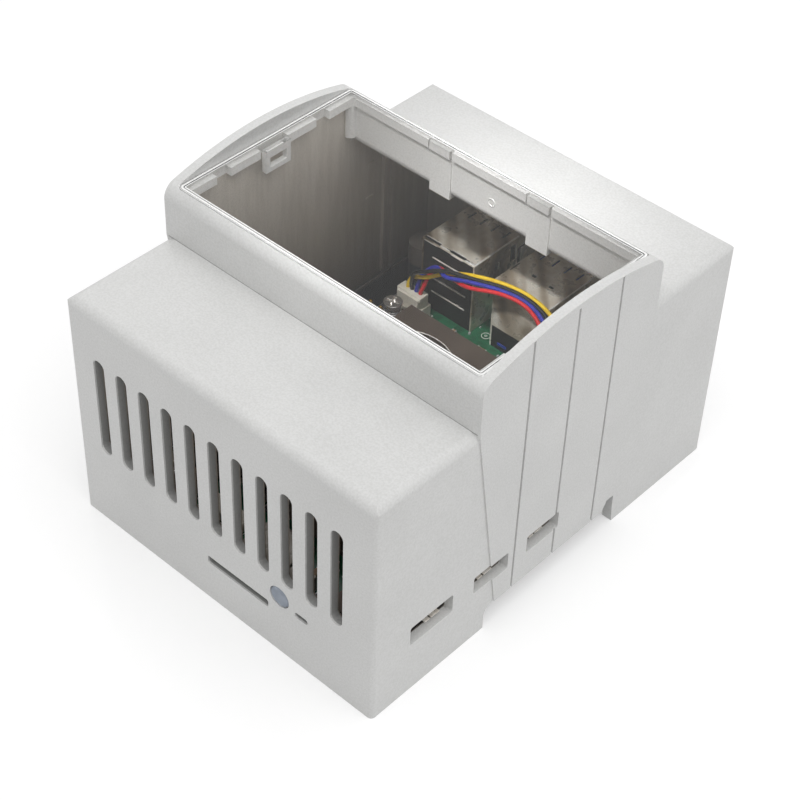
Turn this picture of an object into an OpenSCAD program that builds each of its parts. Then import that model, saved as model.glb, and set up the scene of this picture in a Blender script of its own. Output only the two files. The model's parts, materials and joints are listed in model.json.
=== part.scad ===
// DIN rail enclosure holding a credit-card size computer board with a low fan cooler.
// X runs along the rail, -Y is the vented face, +X is the port wall, Z = 0 is the underside.

/* [Board] */
// Board size across the case, along X
board_w = 56; // [55:0.5:60]
// Board size along Y
board_d = 85; // [84:0.5:90]
// Board thickness
board_t = 1.4; // [1:0.1:2]
// Board corner radius
board_r = 3; // [1:0.5:4]
// Height of the board's underside above the base
board_z = 10.5; // [10:0.25:13]
// Distance of the mounting holes from the board's edges
hole_inset = 3.5; // [3.2:0.1:4]
// Distance of the inner pair of mounting holes from the card edge
hole_far = 61.5; // [60:0.5:62.5]
// Diameter of the mounting holes
hole_d = 2.7; // [2.6:0.1:3]

/* [Case] */
// Wall thickness of the mouldings
wall = 2; // [1.6:0.1:2.4]
// Gap between the board and the port wall
port_gap = 1.3; // [1.1:0.1:1.6]
// Gap between the board and the plain end wall
side_gap = 9.7; // [9:0.1:14]
// Gap between the board's card edge and the vented wall
card_gap = 0.85; // [0.7:0.05:1]
// Gap between the board's jack edge and the rear wall
jack_gap = 0.65; // [0.5:0.05:1]
// Height of the two shoulders
shoulder_h = 49.3; // [46:0.5:56]
// Radius along the shoulder edges
shoulder_r = 2; // [1:0.25:2.5]
// Radius of the upright corners
corner_r = 0.9; // [0.4:0.1:1.5]
// Width of the raised middle along Y
hood_d = 45; // [42:0.5:50]
// Height of the raised middle above the shoulders
hood_rise = 10.5; // [9:0.5:16]
// Radius along the long edges of the raised middle
hood_r = 3; // [2:0.25:4]
// Radius of the arch over the end walls
arch_r = 75; // [65:1:120]
// How far the end panels stand out from the end walls
panel_raise = 0.25; // [0.15:0.05:0.5]
// Half width of an end panel at its foot
panel_foot = 14.2; // [10:0.5:17]
// Radius under the shoulders where they meet the raised middle
inner_r = 2.2; // [1.5:0.1:3.5]

/* [Window] */
// Width of the end walls left standing past the window lid
lid_end = 1.65; // [1.3:0.05:2.4]
// Width of the long walls left standing beside the window lid
lid_side = 1.5; // [1.3:0.05:1.8]
// Window lid thickness
lid_t = 1.5; // [1.2:0.1:2]
// Clearance around the lid in its seat
lid_gap = 0.1; // [0.05:0.05:0.2]
// How far the lid's top lies below the long walls' top
lid_drop = 0.3; // [0:0.05:0.6]
// Corner radius of the lid
lid_r = 1; // [0.5:0.25:2]
// Height of the ledge that carries the lid
ledge_t = 1.7; // [1.2:0.1:2.5]
// How far the ledge reaches in from the walls
ledge_in = 1.4; // [1:0.1:2]
// How far the ledge reaches in from the long walls
ledge_side = 0.7; // [0.5:0.1:1]
// Distance of the ledge notches from the middle of a long side
notch_x = 11.2; // [9:0.2:14]
// Length of a ledge notch in a long side
notch_w = 5.6; // [4:0.2:7]
// Distance of the ledge notches from the middle of an end
notch_y = 12; // [9:0.5:14]
// Length of a ledge notch in an end
end_notch_w = 3.3; // [2.5:0.1:4]
// Width of the lid's latch loop
latch_w = 6; // [4:0.5:8]
// Depth of the latch loop below the lid
latch_h = 4.6; // [3.5:0.2:6]
// Thickness of the latch loop
latch_t = 1.1; // [0.8:0.1:1.5]

/* [Vents] */
// Number of vent slots
vent_count = 11; // [5:1:11]
// Distance between vent slots
vent_pitch = 5.56; // [4.5:0.1:5.8]
// Width of a vent slot
vent_w = 2.7; // [1.5:0.1:3.2]
// Height of the slots' lower ends
vent_z = 17.4; // [17:0.5:20]
// Length of a vent slot
vent_h = 21.6; // [12:0.5:24]
// Offset of the slot row from the middle of the case
vent_shift = -0.55; // [-1:0.05:0.5]

/* [Panel grooves] */
// Distance between the upright grooves of an end panel
groove_pitch = 11; // [8:0.25:11.5]
// Offset of the groove row from the middle of the case
groove_shift = 0.3; // [-0.5:0.1:0.5]
// Width of a groove
groove_w = 0.5; // [0.3:0.1:0.8]
// Depth of a groove
groove_t = 0.35; // [0.2:0.05:0.5]

/* [Rail channel] */
// Width of the rail that the case clips onto
rail_w = 35; // [34.8:0.1:35.2]
// Clearance of the rail in the channel
rail_gap = 0.3; // [0.2:0.05:0.5]
// Offset of the channel from the middle of the case
rail_shift = 0.25; // [0:0.05:0.5]
// Depth of the channel
rail_z = 5.2; // [4.8:0.1:5.6]
// Depth of the notch at the clip's side of the channel
rail_notch_z = 6.9; // [6.2:0.1:7.2]
// Length of that notch
rail_notch_d = 3.3; // [2.5:0.1:4]
// Thickness of the rail's flange
flange_t = 1; // [1:0.1:1.3]
// How far the fixed hooks reach under the rail
hook_d = 1.8; // [1.2:0.1:2.2]
// Length of a fixed hook along the rail
hook_w = 12; // [8:1:16]
// Thickness of the hooks and the clip's nose
hook_t = 1.5; // [1.2:0.1:1.6]

/* [Base tray] */
// Clearance between the tray and the body
tray_gap = 0.2; // [0.1:0.05:0.3]
// How far the tray sits above the underside of the body
tray_z = 0.8; // [0.6:0.1:1]
// Diameter of the board bosses
boss_d = 6; // [5:0.25:6.5]
// Depth of the screw holes in the board bosses
boss_bore = 3.4; // [2.5:0.1:3.6]
// Diameter of the case screw columns
column_d = 6; // [5.5:0.25:6.5]
// Distance of the screw columns from the vented and rear walls
column_inset = 3.75; // [3.45:0.05:7]
// Height of the screw columns above the tray
column_h = 12.5; // [12:0.5:20]

/* [Rail clip] */
// Width of the clip's plate
clip_w = 12; // [10:0.5:14]
// How far the clip's flanges stand out on each side
clip_flange = 1.8; // [1.2:0.1:2.2]
// Travel of the clip when it is pulled out
clip_travel = 2.5; // [2:0.1:2.8]
// Running clearance around the clip
clip_gap = 0.15; // [0.1:0.05:0.2]
// Outer diameter of the clip's spring
spring_d = 3; // [2.4:0.1:3.2]
// Length of the clip's spring
spring_len = 10; // [8:0.5:11]

/* [Button] */
// Diameter of the push button
button_d = 4.3; // [3.6:0.1:4.6]
// Clearance of the button in its hole
button_gap = 0.1; // [0.05:0.05:0.15]
// Travel of the button
button_travel = 0.6; // [0.4:0.1:0.6]
// Distance of the push switch from the port edge of the board
switch_u = 18; // [17.5:0.5:19]

/* [Cooler] */
// Height of the underside of the cooler above the board
cooler_lift = 1; // [1:0.1:1.4]
// Height of the cooler
cooler_h = 4.6; // [4.4:0.1:5.4]
// Thickness of the cooler's floor
cooler_floor = 1.5; // [1.2:0.1:1.6]
// Thickness of the cooler's top plate
cooler_top = 1; // [0.8:0.1:1.2]
// Diameter of the opening over the fan
fan_hole_d = 18.8; // [16:0.2:19]
// Clearance around the fan's blades
fan_gap = 0.5; // [0.4:0.1:0.8]
// Number of fan blades
fan_blades = 17; // [9:1:21]
// Diameter of the fan's hub
hub_d = 8.5; // [7:0.5:10]
// Diameter of the fan's shaft
shaft_d = 1.5; // [1.2:0.1:2]
// Distance between the cooler's fins
fin_pitch = 1.9; // [1.7:0.05:2.4]
// Width of the gaps between the fins
fin_gap = 1.1; // [0.8:0.05:1.2]

/* [Fan lead] */
// Diameter of one wire
wire_d = 0.8; // [0.6:0.05:0.8]

/* [Hidden] */
$fn = 48;
eps = 0.01;
over = 1;

// Case sizes that follow from the board
in_w = port_gap + board_w + side_gap;
in_d = card_gap + board_d + jack_gap;
case_w = in_w + 2 * wall;
case_d = in_d + 2 * wall;
board_x1 = in_w / 2 - port_gap;
board_x0 = board_x1 - board_w;
board_y0 = card_gap - in_d / 2;
board_y1 = board_y0 + board_d;
board_top = board_z + board_t;
ceiling_z = shoulder_h - wall;
hood_h = shoulder_h + hood_rise;
panel_w = case_w + 2 * panel_raise;

// The arch meets the rounded long edges of the raised middle at a tangent
corner_y = hood_d / 2 - hood_r;
corner_z = hood_h - hood_r;
arch_z = corner_z - sqrt(pow(arch_r - hood_r, 2) - pow(corner_y, 2));
touch_y = corner_y * arch_r / (arch_r - hood_r);
touch_z = arch_z + (corner_z - arch_z) * arch_r / (arch_r - hood_r);

// Lid seat
lid_w = case_w - 2 * lid_end;
lid_d = hood_d - 2 * lid_side;
lid_top = hood_h - lid_drop;
seat_z = lid_top - lid_t;
hood_in = hood_d / 2 - wall;
ledge_x = in_w / 2 - ledge_in;
ledge_y = hood_in - ledge_side;
ledge_z = seat_z - ledge_t;
post_r = 1.3;
post_h = 7;
tab_t = 0.7;
tab_gap = 0.2;
pad_w = notch_w - 0.8;
pad_t = 0.3;
rib = [0.8, 0.6, 28];
rib_y = [29.7, 32];
rib_z = 12;
column_bore = 10;

// Rail channel
rail_y0 = rail_shift - (rail_w + rail_gap) / 2;
rail_y1 = rail_shift + (rail_w + rail_gap) / 2;
rail_flare = 0.5;
rail_r = 2;
hook_z = rail_z - flange_t - 0.1 - hook_t;
roof_t = 2;

// Tray
tray_w = in_w - 2 * tray_gap;
tray_d = in_d - 2 * tray_gap;
tray_t = wall;
tray_top = tray_z + tray_t;
rim_t = 1.5;
rim_z = 6.2;
column_x = -in_w / 2 - 0.3 + column_d / 2;
column_y = in_d / 2 - column_inset;
lug_y = 38;
lug_w = 6;

// Mounting holes and their screws
holes = [
    [board_x1 - hole_inset, board_y0 + hole_inset],
    [board_x0 + hole_inset, board_y0 + hole_inset],
    [board_x1 - hole_inset, board_y0 + hole_far],
    [board_x0 + hole_inset, board_y0 + hole_far]
];
thread_d = 2.5;
case_screw_d = 3;
case_screw_h = 9.5;
case_head_d = 5.8;
case_head_h = 1.4;
sink_d = 6.2;
sink_gap = 0.4;
recess_w = 2.6;
recess_t = 0.6;

// Rail clip, stacked from the underside up
clip_z = tray_z + 0.1;
clip_flange_z = tray_top + 0.1;
clip_top = hook_z + hook_t;
clip_nose_y = rail_y1 - hook_d;
clip_end_y = case_d / 2 - 0.2;
clip_window_w = spring_d + 0.6;
clip_window_y = 23;
clip_post_y = clip_window_y + spring_len + 0.1;
clip_post_d = 1.6;
strap_t = 1.5;
strap_y0 = clip_post_y - 1;
strap_d = 4;
strap_z = clip_top + clip_gap;

// Connector places, from the port edge (u) and the card edge (v)
usb_c_v = 11.2;
hdmi_v = [25.9, 39.3];
usb_u = [47, 29.1];
network_u = 10.2;
jack_reach = board_d + jack_gap + wall - 0.1;
port_reach = 0.9;
port_clear = 0.7;
port_rise = 0.5;
usb_c_size = [7.4, 9, 3.2];
hdmi_size = [7.5, 7.1, 2.9];
usb_size = [13.1, 17.1, 16];
network_size = [16, 21.3, 13.5];
sheet_t = 0.35;
sheet_gap = 0.05;
insert_back = 0.25;
usb_port_size = [12.3, 5.1];
usb_port_z = [4.2, 11.9];
usb_port_back = 4.7;
usb_tongue = [11.1, 10, 1.8];
usb_tongue_y = 4.6;
usb_slit = [0.5, 2.6];
usb_slit_pitch = 2.9;
usb_slit_y = 4;
usb_tab = [2.1, 0.5];
usb_tab_pitch = 3.7;
usb_tab_y = 0.45;
network_port = [11.8, 12, 7.4];
network_port_z = 3;
network_key = [6.2, 12, 9.6];
network_key_z = 1;
jack_clear = 0.4;
card_u = 28;
card_slot = [14.7, 1.7];
card_size = [13.6, 14, 1.4];
led_u = 12.9;
led_slot = [3, 1.2];
switch_size = [4.6, 3.2, 3.4];
switch_rise = 1.7;
light_rise = 0.4;
processor_at = [32, 29.5];
processor_size = [17, 17];
memory_at = [14, 29.5];
memory_size = [10, 14.5, 0.9];
io_at = [24, 52];
io_size = [12, 12, 0.9];
power_at = [44.5, 17.5];
power_size = [6, 6, 0.9];
radio_at = [27, 5.6];
radio_size = [10, 8, 1.4];
camera_at = [4.2, 51];
camera_size = [3.6, 14, 5.2];
camera_slot = [0.6, 12];
expansion_at = [39, 5];
expansion_size = [10, 3.2, 2];
light_v = 0.6;
light_size = [1.6, 0.8, 0.7];
header_v = 32.5;
header_rows = 20;
header_pitch = 2.54;
header_size = [5.1, header_rows * header_pitch, 2.5];
pin_size = [0.64, 0.64, 6];
fan_socket_place = [board_x0 + 3.9, board_y1 - 18.4];
fan_socket_size = [6, 4.2, 3];
fan_plug_size = [5.4, 3.2, 3.2];

// Cooler
cooler_z = board_top + cooler_lift;
cooler_top_z = cooler_z + cooler_h;
cooler_x0 = holes[3].x + 2.85;
cooler_x1 = board_x1 - port_reach - 6.3;
cooler_y0 = board_y0 + 11.4;
cooler_y1 = board_y0 + hole_far + 2.1;
fan_wall = 0.85;
fan_rim = 4.1;
fan_x = cooler_x0 + fan_wall + fan_hole_d / 2;
fan_y = cooler_y1 - fan_rim - fan_hole_d / 2;
fin_edge = 1.5;
fin_bridge = 5;
fin_end = 2;
fin_count = floor((cooler_x1 - cooler_x0 - 2 * fin_edge + fin_pitch - fin_gap) / fin_pitch);
ear_t = 1.5;
ear_r = 2.9;
head_d = 3.8;
spring_h = 2.2;
spring_wire_r = 0.25;
spring_reel = 1.52;
spring_turns = 4;
rotor_d = fan_hole_d - 2 * fan_gap;
rotor_z = cooler_z + cooler_floor + 1.1;
rotor_h = cooler_top_z - rotor_z - 0.2;
blade_w = 2.2;
blade_t = 0.45;
blade_tilt = 50;
lead_x = 17;
lead_w = 5;
solder_y = 16;
solder_pad = [4, 2, 1.1];
arm_w = 3;
arm_t = 0.5;
arm_gap = 0.1;

// Route of the fan lead's middle line, and which way its four wires lie side by side
lead_route = [
    [-20, 24.4, 18], [-20, 24.5, 19.6], [-19.2, 24.4, 21.8], [-15.9, 24, 24.3], [-11, 24.3, 26.3],
    [-6, 25, 27.7], [0.5, 26.2, 28.7], [6, 26.6, 28.8], [11, 25.5, 28], [14.8, 22.9, 26],
    [16.7, 22.6, 21.8], [17, 22.4, 18.2], [17, 21.4, 15.6], [17, 19.6, 15], [17, 17, 15]
];
lead_side = [
    [-1, 0, 0], [-1, 0.1, 0.1], [-0.85, 0.1, 0.5], [-0.5, 0.5, 0.75], [-0.25, 0.8, 0.5],
    [-0.1, 0.95, 0.2], [0, 1, 0.1], [0.1, 0.95, 0], [0.4, 1, 0], [1, 0.45, 0],
    [1, 0.45, 0], [1, 0.1, 0], [1, 0, 0], [1, 0, 0], [1, 0, 0]
];
// The wires leave the plug side by side and cross over before they lie flat together
yellow_start = [
    [-21.2, 24.3, 18], [-21, 24.4, 19.4], [-20, 24.5, 20.9], [-16.4, 24.1, 23.1], [-12, 25.5, 25.7]
];
black_start = [
    [-20.15, 24.3, 18], [-19.9, 23.8, 20.1], [-18.8, 23.3, 23.1], [-15.3, 23.3, 25.6], [-11.7, 24.5, 27]
];
blue_start = [
    [-19.1, 24.3, 18], [-18.9, 24.7, 19.9], [-18.6, 25.6, 21.9], [-15.6, 25.7, 25.1], [-11.5, 24, 26]
];
red_start = [
    [-18.05, 24.3, 18], [-17.4, 24.6, 20.3], [-17.4, 26.2, 22.2], [-15.6, 26.7, 24.3],
    [-12.4, 26, 24.5], [-6.2, 23.8, 26.8]
];
lane_pitch = 0.9;
wire_sides = 8;
wire_steps = 19;

function lane_route(lane) = [
    for (i = [0:len(lead_route) - 1]) lead_route[i] + lane * lane_pitch * lead_side[i]
];
function tail(list, first) = [for (i = [first:len(list) - 1]) list[i]];
function unit(v) = v / norm(v);
// Smooth curve through the points p, at t from 0 to 1
function curve_at(p, t) =
    let (
        last = len(p) - 1,
        i = min(floor(t * last), last - 1),
        s = t * last - i,
        a = p[max(i - 1, 0)],
        b = p[i],
        c = p[i + 1],
        d = p[min(i + 2, last)]
    )
    0.5 * (2 * b + (c - a) * s + (2 * a - 5 * b + 4 * c - d) * s * s
        + (3 * b - a - 3 * c + d) * s * s * s);
function carried(tangents, i, side) =
    i == len(tangents)
        ? []
        : let (next = unit(side - tangents[i] * (tangents[i] * side)))
          concat([next], carried(tangents, i + 1, next));

// ---- Shared shapes ----

// Extrudes an outline drawn in Y and Z along X, centred on x = 0
module along_x(length) {
    rotate([90, 0, 90]) linear_extrude(length, center = true) children();
}

module block(size, place) {
    translate([place.x - size.x / 2, place.y - size.y / 2, place.z]) cube(size);
}

module rounded_square(w, d, r) {
    square([w - 2 * r, d], center = true);
    square([w, d - 2 * r], center = true);
    for (x = [-1, 1], y = [-1, 1]) translate([x * (w / 2 - r), y * (d / 2 - r)]) circle(r);
}

// What a rounded edge along Z takes away, with the solid on the -X -Y side
module edge_cut(length, r) {
    difference() {
        translate([-r, -r, 0]) cube([r + over, r + over, length]);
        translate([-r, -r, -over]) cylinder(h = length + 2 * over, r = r);
    }
}

// A tube swept along a smooth curve through the points p
module wire(p) {
    path = [for (i = [0:wire_steps]) curve_at(p, i / wire_steps)];
    tangents = [
        for (i = [0:wire_steps]) unit(path[min(i + 1, wire_steps)] - path[max(i - 1, 0)])
    ];
    sides = carried(tangents, 0, [1, 0.3, 0]);
    rings = [
        for (i = [0:wire_steps]) for (k = [0:wire_sides - 1])
            let (up = cross(tangents[i], sides[i]), a = 360 * k / wire_sides)
            path[i] + wire_d / 2 * (cos(a) * sides[i] + sin(a) * up)
    ];
    skin = [
        for (i = [0:wire_steps - 1]) for (k = [0:wire_sides - 1])
            let (n = (k + 1) % wire_sides, low = i * wire_sides, high = low + wire_sides)
            [low + k, high + k, high + n, low + n]
    ];
    first = [for (k = [0:wire_sides - 1]) k];
    last = [for (k = [wire_sides - 1:-1:0]) wire_steps * wire_sides + k];
    polyhedron(rings, concat([first], skin, [last]));
}

// ---- Case ----

module hood_outline() {
    intersection() {
        translate([0, arch_z]) circle(arch_r, $fn = 240);
        union() {
            translate([-hood_d / 2, 0]) square([hood_d, corner_z]);
            for (y = [-corner_y, corner_y]) translate([y, corner_z]) circle(hood_r);
            polygon([
                [-corner_y, corner_z - hood_r], [corner_y, corner_z - hood_r], [corner_y, corner_z],
                [touch_y, touch_z], [touch_y, touch_z + arch_r / 4],
                [-touch_y, touch_z + arch_r / 4], [-touch_y, touch_z], [-corner_y, corner_z]
            ]);
        }
    }
}

module shoulder_outline() {
    half = case_d / 2;
    translate([-half, 0]) square([case_d, shoulder_h - shoulder_r]);
    translate([shoulder_r - half, 0]) square([case_d - 2 * shoulder_r, shoulder_h]);
    for (y = [shoulder_r - half, half - shoulder_r])
        translate([y, shoulder_h - shoulder_r]) circle(shoulder_r);
}

module panel_outline() {
    polygon([
        [-panel_foot, 0], [panel_foot, 0],
        [hood_d / 2, shoulder_h], [-hood_d / 2, shoulder_h]
    ]);
    intersection() {
        hood_outline();
        translate([-case_d / 2, shoulder_h - eps]) square([case_d, case_d]);
    }
}

// The channel for the rail, with a deeper notch at the clip's side
module rail_outline() {
    translate([rail_y0 + rail_r, -over])
        square([rail_y1 - rail_notch_d / 2 - rail_y0 - rail_r, rail_z + over]);
    translate([rail_y0, -over]) square([rail_w / 2, rail_z - rail_r + over]);
    translate([rail_y0 + rail_r, rail_z - rail_r]) circle(rail_r);
    polygon([
        [rail_y1 - rail_notch_d / 2, -over], [rail_y1 + rail_flare, -over],
        [rail_y1, rail_z - flange_t], [rail_y1, rail_notch_z],
        [rail_y1 - rail_notch_d / 2, rail_notch_z]
    ]);
    translate([rail_y1 - rail_notch_d / 2, rail_notch_z - rail_notch_d / 2])
        circle(rail_notch_d / 2);
    translate([rail_y1 - rail_notch_d, -over])
        square([rail_notch_d, rail_notch_z - rail_notch_d / 2 + over]);
}

module shell_outside() {
    difference() {
        union() {
            along_x(case_w) shoulder_outline();
            along_x(panel_w) panel_outline();
        }
        // Rounded shoulder edges over the end walls
        for (x = [0, 1], y = [0, 1]) mirror([x, 0, 0]) mirror([0, y, 0])
            translate([case_w / 2, case_d / 2 + over, shoulder_h]) rotate([90, 0, 0])
                edge_cut(case_d / 2 - hood_d / 2 + over, shoulder_r);
        // Rounded upright corners
        for (x = [0, 1], y = [0, 1]) mirror([x, 0, 0]) mirror([0, y, 0])
            translate([case_w / 2, case_d / 2, -over]) edge_cut(shoulder_h + 2 * over, corner_r);
    }
}

module shell_inside() {
    translate([-in_w / 2, -in_d / 2, -over]) cube([in_w, in_d, ceiling_z + over]);
    translate([-in_w / 2, -hood_in, 0]) cube([in_w, 2 * hood_in, ledge_z]);
    translate([-ledge_x, -ledge_y, 0]) cube([2 * ledge_x, 2 * ledge_y, hood_h]);
    // Rounding under the shoulders, left square below the ledge's notches
    for (side = [0, 1]) mirror([0, side, 0]) difference() {
        translate([-in_w / 2, hood_in - eps, ceiling_z - eps])
            cube([in_w, inner_r + eps, inner_r + eps]);
        translate([-in_w, hood_in + inner_r, ceiling_z + inner_r]) rotate([0, 90, 0])
            cylinder(h = 2 * in_w, r = inner_r);
        for (x = [-notch_x, notch_x]) translate([x - pad_w / 2, 0, ceiling_z])
            cube([pad_w, hood_d, 2 * inner_r]);
    }
}

module lid_seat() {
    translate([0, 0, seat_z]) linear_extrude(hood_h)
        rounded_square(lid_w + 2 * lid_gap, lid_d + 2 * lid_gap, lid_r);
    for (x = [-notch_x, notch_x]) translate([x - notch_w / 2, -hood_in, ledge_z - over])
        cube([notch_w, 2 * hood_in, hood_h]);
    for (y = [-notch_y, notch_y]) translate([-in_w / 2, y - end_notch_w / 2, ledge_z - over])
        cube([in_w, end_notch_w, seat_z - ledge_z + 2 * over]);
    translate([-in_w / 2, -latch_w / 2 - 0.3, ledge_z - over])
        cube([in_w / 2, latch_w + 0.6, seat_z - ledge_z + 2 * over]);
}

module vent_slots() {
    first = vent_shift - (vent_count - 1) / 2 * vent_pitch;
    for (i = [0:vent_count - 1])
        translate([first + i * vent_pitch, -in_d / 2 + over, vent_z + vent_h / 2]) rotate([90, 0, 0])
            linear_extrude(wall + 2 * over) rounded_square(vent_w, vent_h, vent_w / 2 - eps);
}

module front_holes() {
    y = -in_d / 2 + over;
    depth = wall + 2 * over;
    translate([board_x1 - card_u, y, board_z - card_size.z / 2]) rotate([90, 0, 0])
        linear_extrude(depth) rounded_square(card_slot.x, card_slot.y, 0.4);
    translate([board_x1 - led_u, y, board_top + light_rise]) rotate([90, 0, 0])
        linear_extrude(depth) rounded_square(led_slot.x, led_slot.y, led_slot.y / 2 - eps);
    translate([board_x1 - switch_u, y, board_top + switch_rise]) rotate([90, 0, 0]) {
        cylinder(h = depth, d = button_d + 2 * button_gap);
        cylinder(h = wall / 2 + over, d = button_d + 1.7);
    }
}

module port_hole(v, size) {
    translate([in_w / 2 - over, board_y0 + v, board_top + size.z / 2]) rotate([90, 0, 90])
        linear_extrude(wall + panel_raise + 2 * over)
            rounded_square(size.y + 2 * port_clear, size.z + 2 * port_rise, 0.5);
}

module jack_hole(u, size) {
    block([size.x + 2 * jack_clear, wall + 2 * over, size.z + jack_clear + board_t],
        [board_x1 - u, in_d / 2 + wall / 2, board_z]);
}

module panel_grooves() {
    for (side = [0, 1], i = [-1:1]) mirror([side, 0, 0])
        translate([panel_w / 2 - groove_t, groove_shift + i * groove_pitch - groove_w / 2, 0])
            cube([over, groove_w, arch_z + arch_r - over]);
}

module upper_shell() {
    color([0.8, 0.8, 0.79]) {
        difference() {
            shell_outside();
            shell_inside();
            // The long walls stop at the top of the raised middle, between the arched ends
            translate([-lid_w / 2 - lid_gap, -case_d / 2, hood_h])
                cube([lid_w + 2 * lid_gap, case_d, arch_r]);
            lid_seat();
            vent_slots();
            front_holes();
            port_hole(usb_c_v, usb_c_size);
            for (v = hdmi_v) port_hole(v, hdmi_size);
            for (u = usb_u) jack_hole(u, usb_size);
            jack_hole(network_u, network_size);
            panel_grooves();
            along_x(2 * case_w) rail_outline();
            // Gap for the rail clip's pull end
            translate([-clip_w / 2 - 2 * clip_gap, in_d / 2 - over, -over])
                cube([clip_w + 4 * clip_gap, wall + 2 * over, tray_top + 2 * over]);
        }
        // Posts in the corners of the raised middle
        for (x = [-1, 1], y = [-1, 1])
            translate([x * (in_w / 2 - 0.3), y * (hood_in - 0.3), ledge_z - post_h])
                cylinder(h = post_h + eps, r = post_r);
        // Pads on the long walls under the ledge's notches
        for (x = [-notch_x, notch_x], side = [0, 1]) mirror([0, side, 0])
            translate([x - pad_w / 2, hood_in - pad_t, ceiling_z])
                cube([pad_w, pad_t + eps, ledge_z - ceiling_z - tab_gap]);
        // Pairs of stiffening ribs on the plain end wall
        for (side = [0, 1], y = rib_y) mirror([0, side, 0])
            translate([-in_w / 2 - eps, y - rib.y / 2, rib_z]) cube(rib);
        // Columns for the case screws
        for (y = [-column_y, column_y]) difference() {
            translate([column_x, y, tray_top]) cylinder(h = column_h, d = column_d);
            translate([column_x, y, tray_top - over])
                cylinder(h = column_bore + over, d = case_screw_d + 0.06);
        }
        // Ledges on the port wall that the tray's lugs lie over
        for (y = [-lug_y, lug_y]) translate([in_w / 2 - 0.8, y - lug_w / 2, tray_top + 0.1])
            cube([0.8 + eps, lug_w, 1]);
    }
}

module tray_profile() {
    difference() {
        union() {
            translate([-tray_d / 2, tray_z]) square([tray_d, tray_t]);
            for (y = [-tray_d / 2, tray_d / 2 - rim_t]) translate([y, tray_z])
                square([rim_t, rim_z - tray_z]);
            translate([rail_y0 - roof_t, tray_z])
                square([rail_y1 - rail_y0 + 2 * roof_t, rail_z + roof_t - tray_z]);
            translate([rail_y1 - rail_notch_d - roof_t, tray_z])
                square([rail_notch_d + 2 * roof_t, rail_notch_z + roof_t - tray_z]);
        }
        rail_outline();
    }
}

module base_shell() {
    slot_w = clip_w + 2 * clip_gap;
    flange_w = clip_w + 2 * clip_flange + 2 * clip_gap;
    color([0.74, 0.74, 0.73]) difference() {
        union() {
            along_x(tray_w) tray_profile();
            difference() {
                for (p = holes) translate([p.x, p.y, tray_z]) cylinder(h = board_z - tray_z, d = boss_d);
                along_x(case_w) rail_outline();
            }
            // Fixed hooks under the rail's far flange
            for (x = [-22, 22]) translate([x - hook_w / 2, rail_y0 - eps, hook_z])
                cube([hook_w, hook_d, hook_t]);
            // Lugs that lie over the body's ledges
            for (y = [-lug_y, lug_y]) {
                translate([tray_w / 2 - 2, y - lug_w / 2, tray_top - eps]) cube([1.2, lug_w, 2.2]);
                translate([tray_w / 2 - 2, y - lug_w / 2, tray_top + 1.2]) cube([2, lug_w, 1]);
            }
        }
        // Screw holes in the board bosses
        for (p = holes) translate([p.x, p.y, board_z - boss_bore])
            cylinder(h = boss_bore + over, d = thread_d);
        // Way for the rail clip through the floor, the channel's wall and the rear rim
        translate([-slot_w / 2, rail_y1 - over, 0]) cube([slot_w, case_d, tray_top + eps]);
        translate([-flange_w / 2, rail_y1 - over, tray_top])
            cube([flange_w, case_d, clip_top + clip_gap - tray_top]);
        // Countersunk holes for the case screws
        for (y = [-column_y, column_y]) translate([column_x, y, 0]) {
            cylinder(h = tray_top + rim_z, d = case_screw_d + sink_gap);
            translate([0, 0, tray_z - eps])
                cylinder(h = case_head_h + 0.1, d1 = sink_d, d2 = case_screw_d + sink_gap);
            translate([0, 0, tray_top]) cylinder(h = rim_z, d = column_d + sink_gap);
        }
    }
    // Strap over the clip, with the post that holds the spring
    color([0.74, 0.74, 0.73]) {
        for (x = [-1, 1]) translate([x * (flange_w / 2 + 1) - 1, strap_y0, tray_top - eps])
            cube([2, strap_d, strap_z + strap_t - tray_top]);
        translate([-flange_w / 2 - 2, strap_y0, strap_z]) cube([flange_w + 4, strap_d, strap_t]);
        translate([-clip_window_w / 2 + 0.2, clip_post_y, clip_z + 0.2])
            cube([clip_window_w - 0.4, clip_post_d, strap_z - clip_z]);
    }
}

module window_lid() {
    loop_x = -ledge_x - 0.1;
    color([0.9, 0.93, 0.95, 0.35]) {
        translate([0, 0, seat_z]) linear_extrude(lid_t)
            rounded_square(lid_w, lid_d, lid_r);
        // Latch loop that hangs inside the plain end wall
        difference() {
            translate([loop_x, -latch_w / 2, seat_z - latch_h])
                cube([latch_t, latch_w, latch_h + eps]);
            translate([loop_x - over, 1 - latch_w / 2, seat_z - latch_h + 1])
                cube([latch_t + 2 * over, latch_w - 2, latch_h - 2.6]);
        }
        // Tabs that drop into the notches of the long sides
        for (x = [-notch_x, notch_x], y = [0, 1]) mirror([0, y, 0])
            translate([x - notch_w / 2 + 2 * tab_gap, hood_in - tab_gap - tab_t, seat_z - ledge_t])
                cube([notch_w - 4 * tab_gap, tab_t, ledge_t + eps]);
    }
}

module power_button() {
    color([0.72, 0.76, 0.82]) translate([board_x1 - switch_u, -in_d / 2 + 0.05, board_top + switch_rise])
        rotate([90, 0, 0]) {
            cylinder(h = wall - 0.05, d = button_d);
            cylinder(h = wall / 2 - 0.1, d = button_d + 1.2);
        }
}

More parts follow.
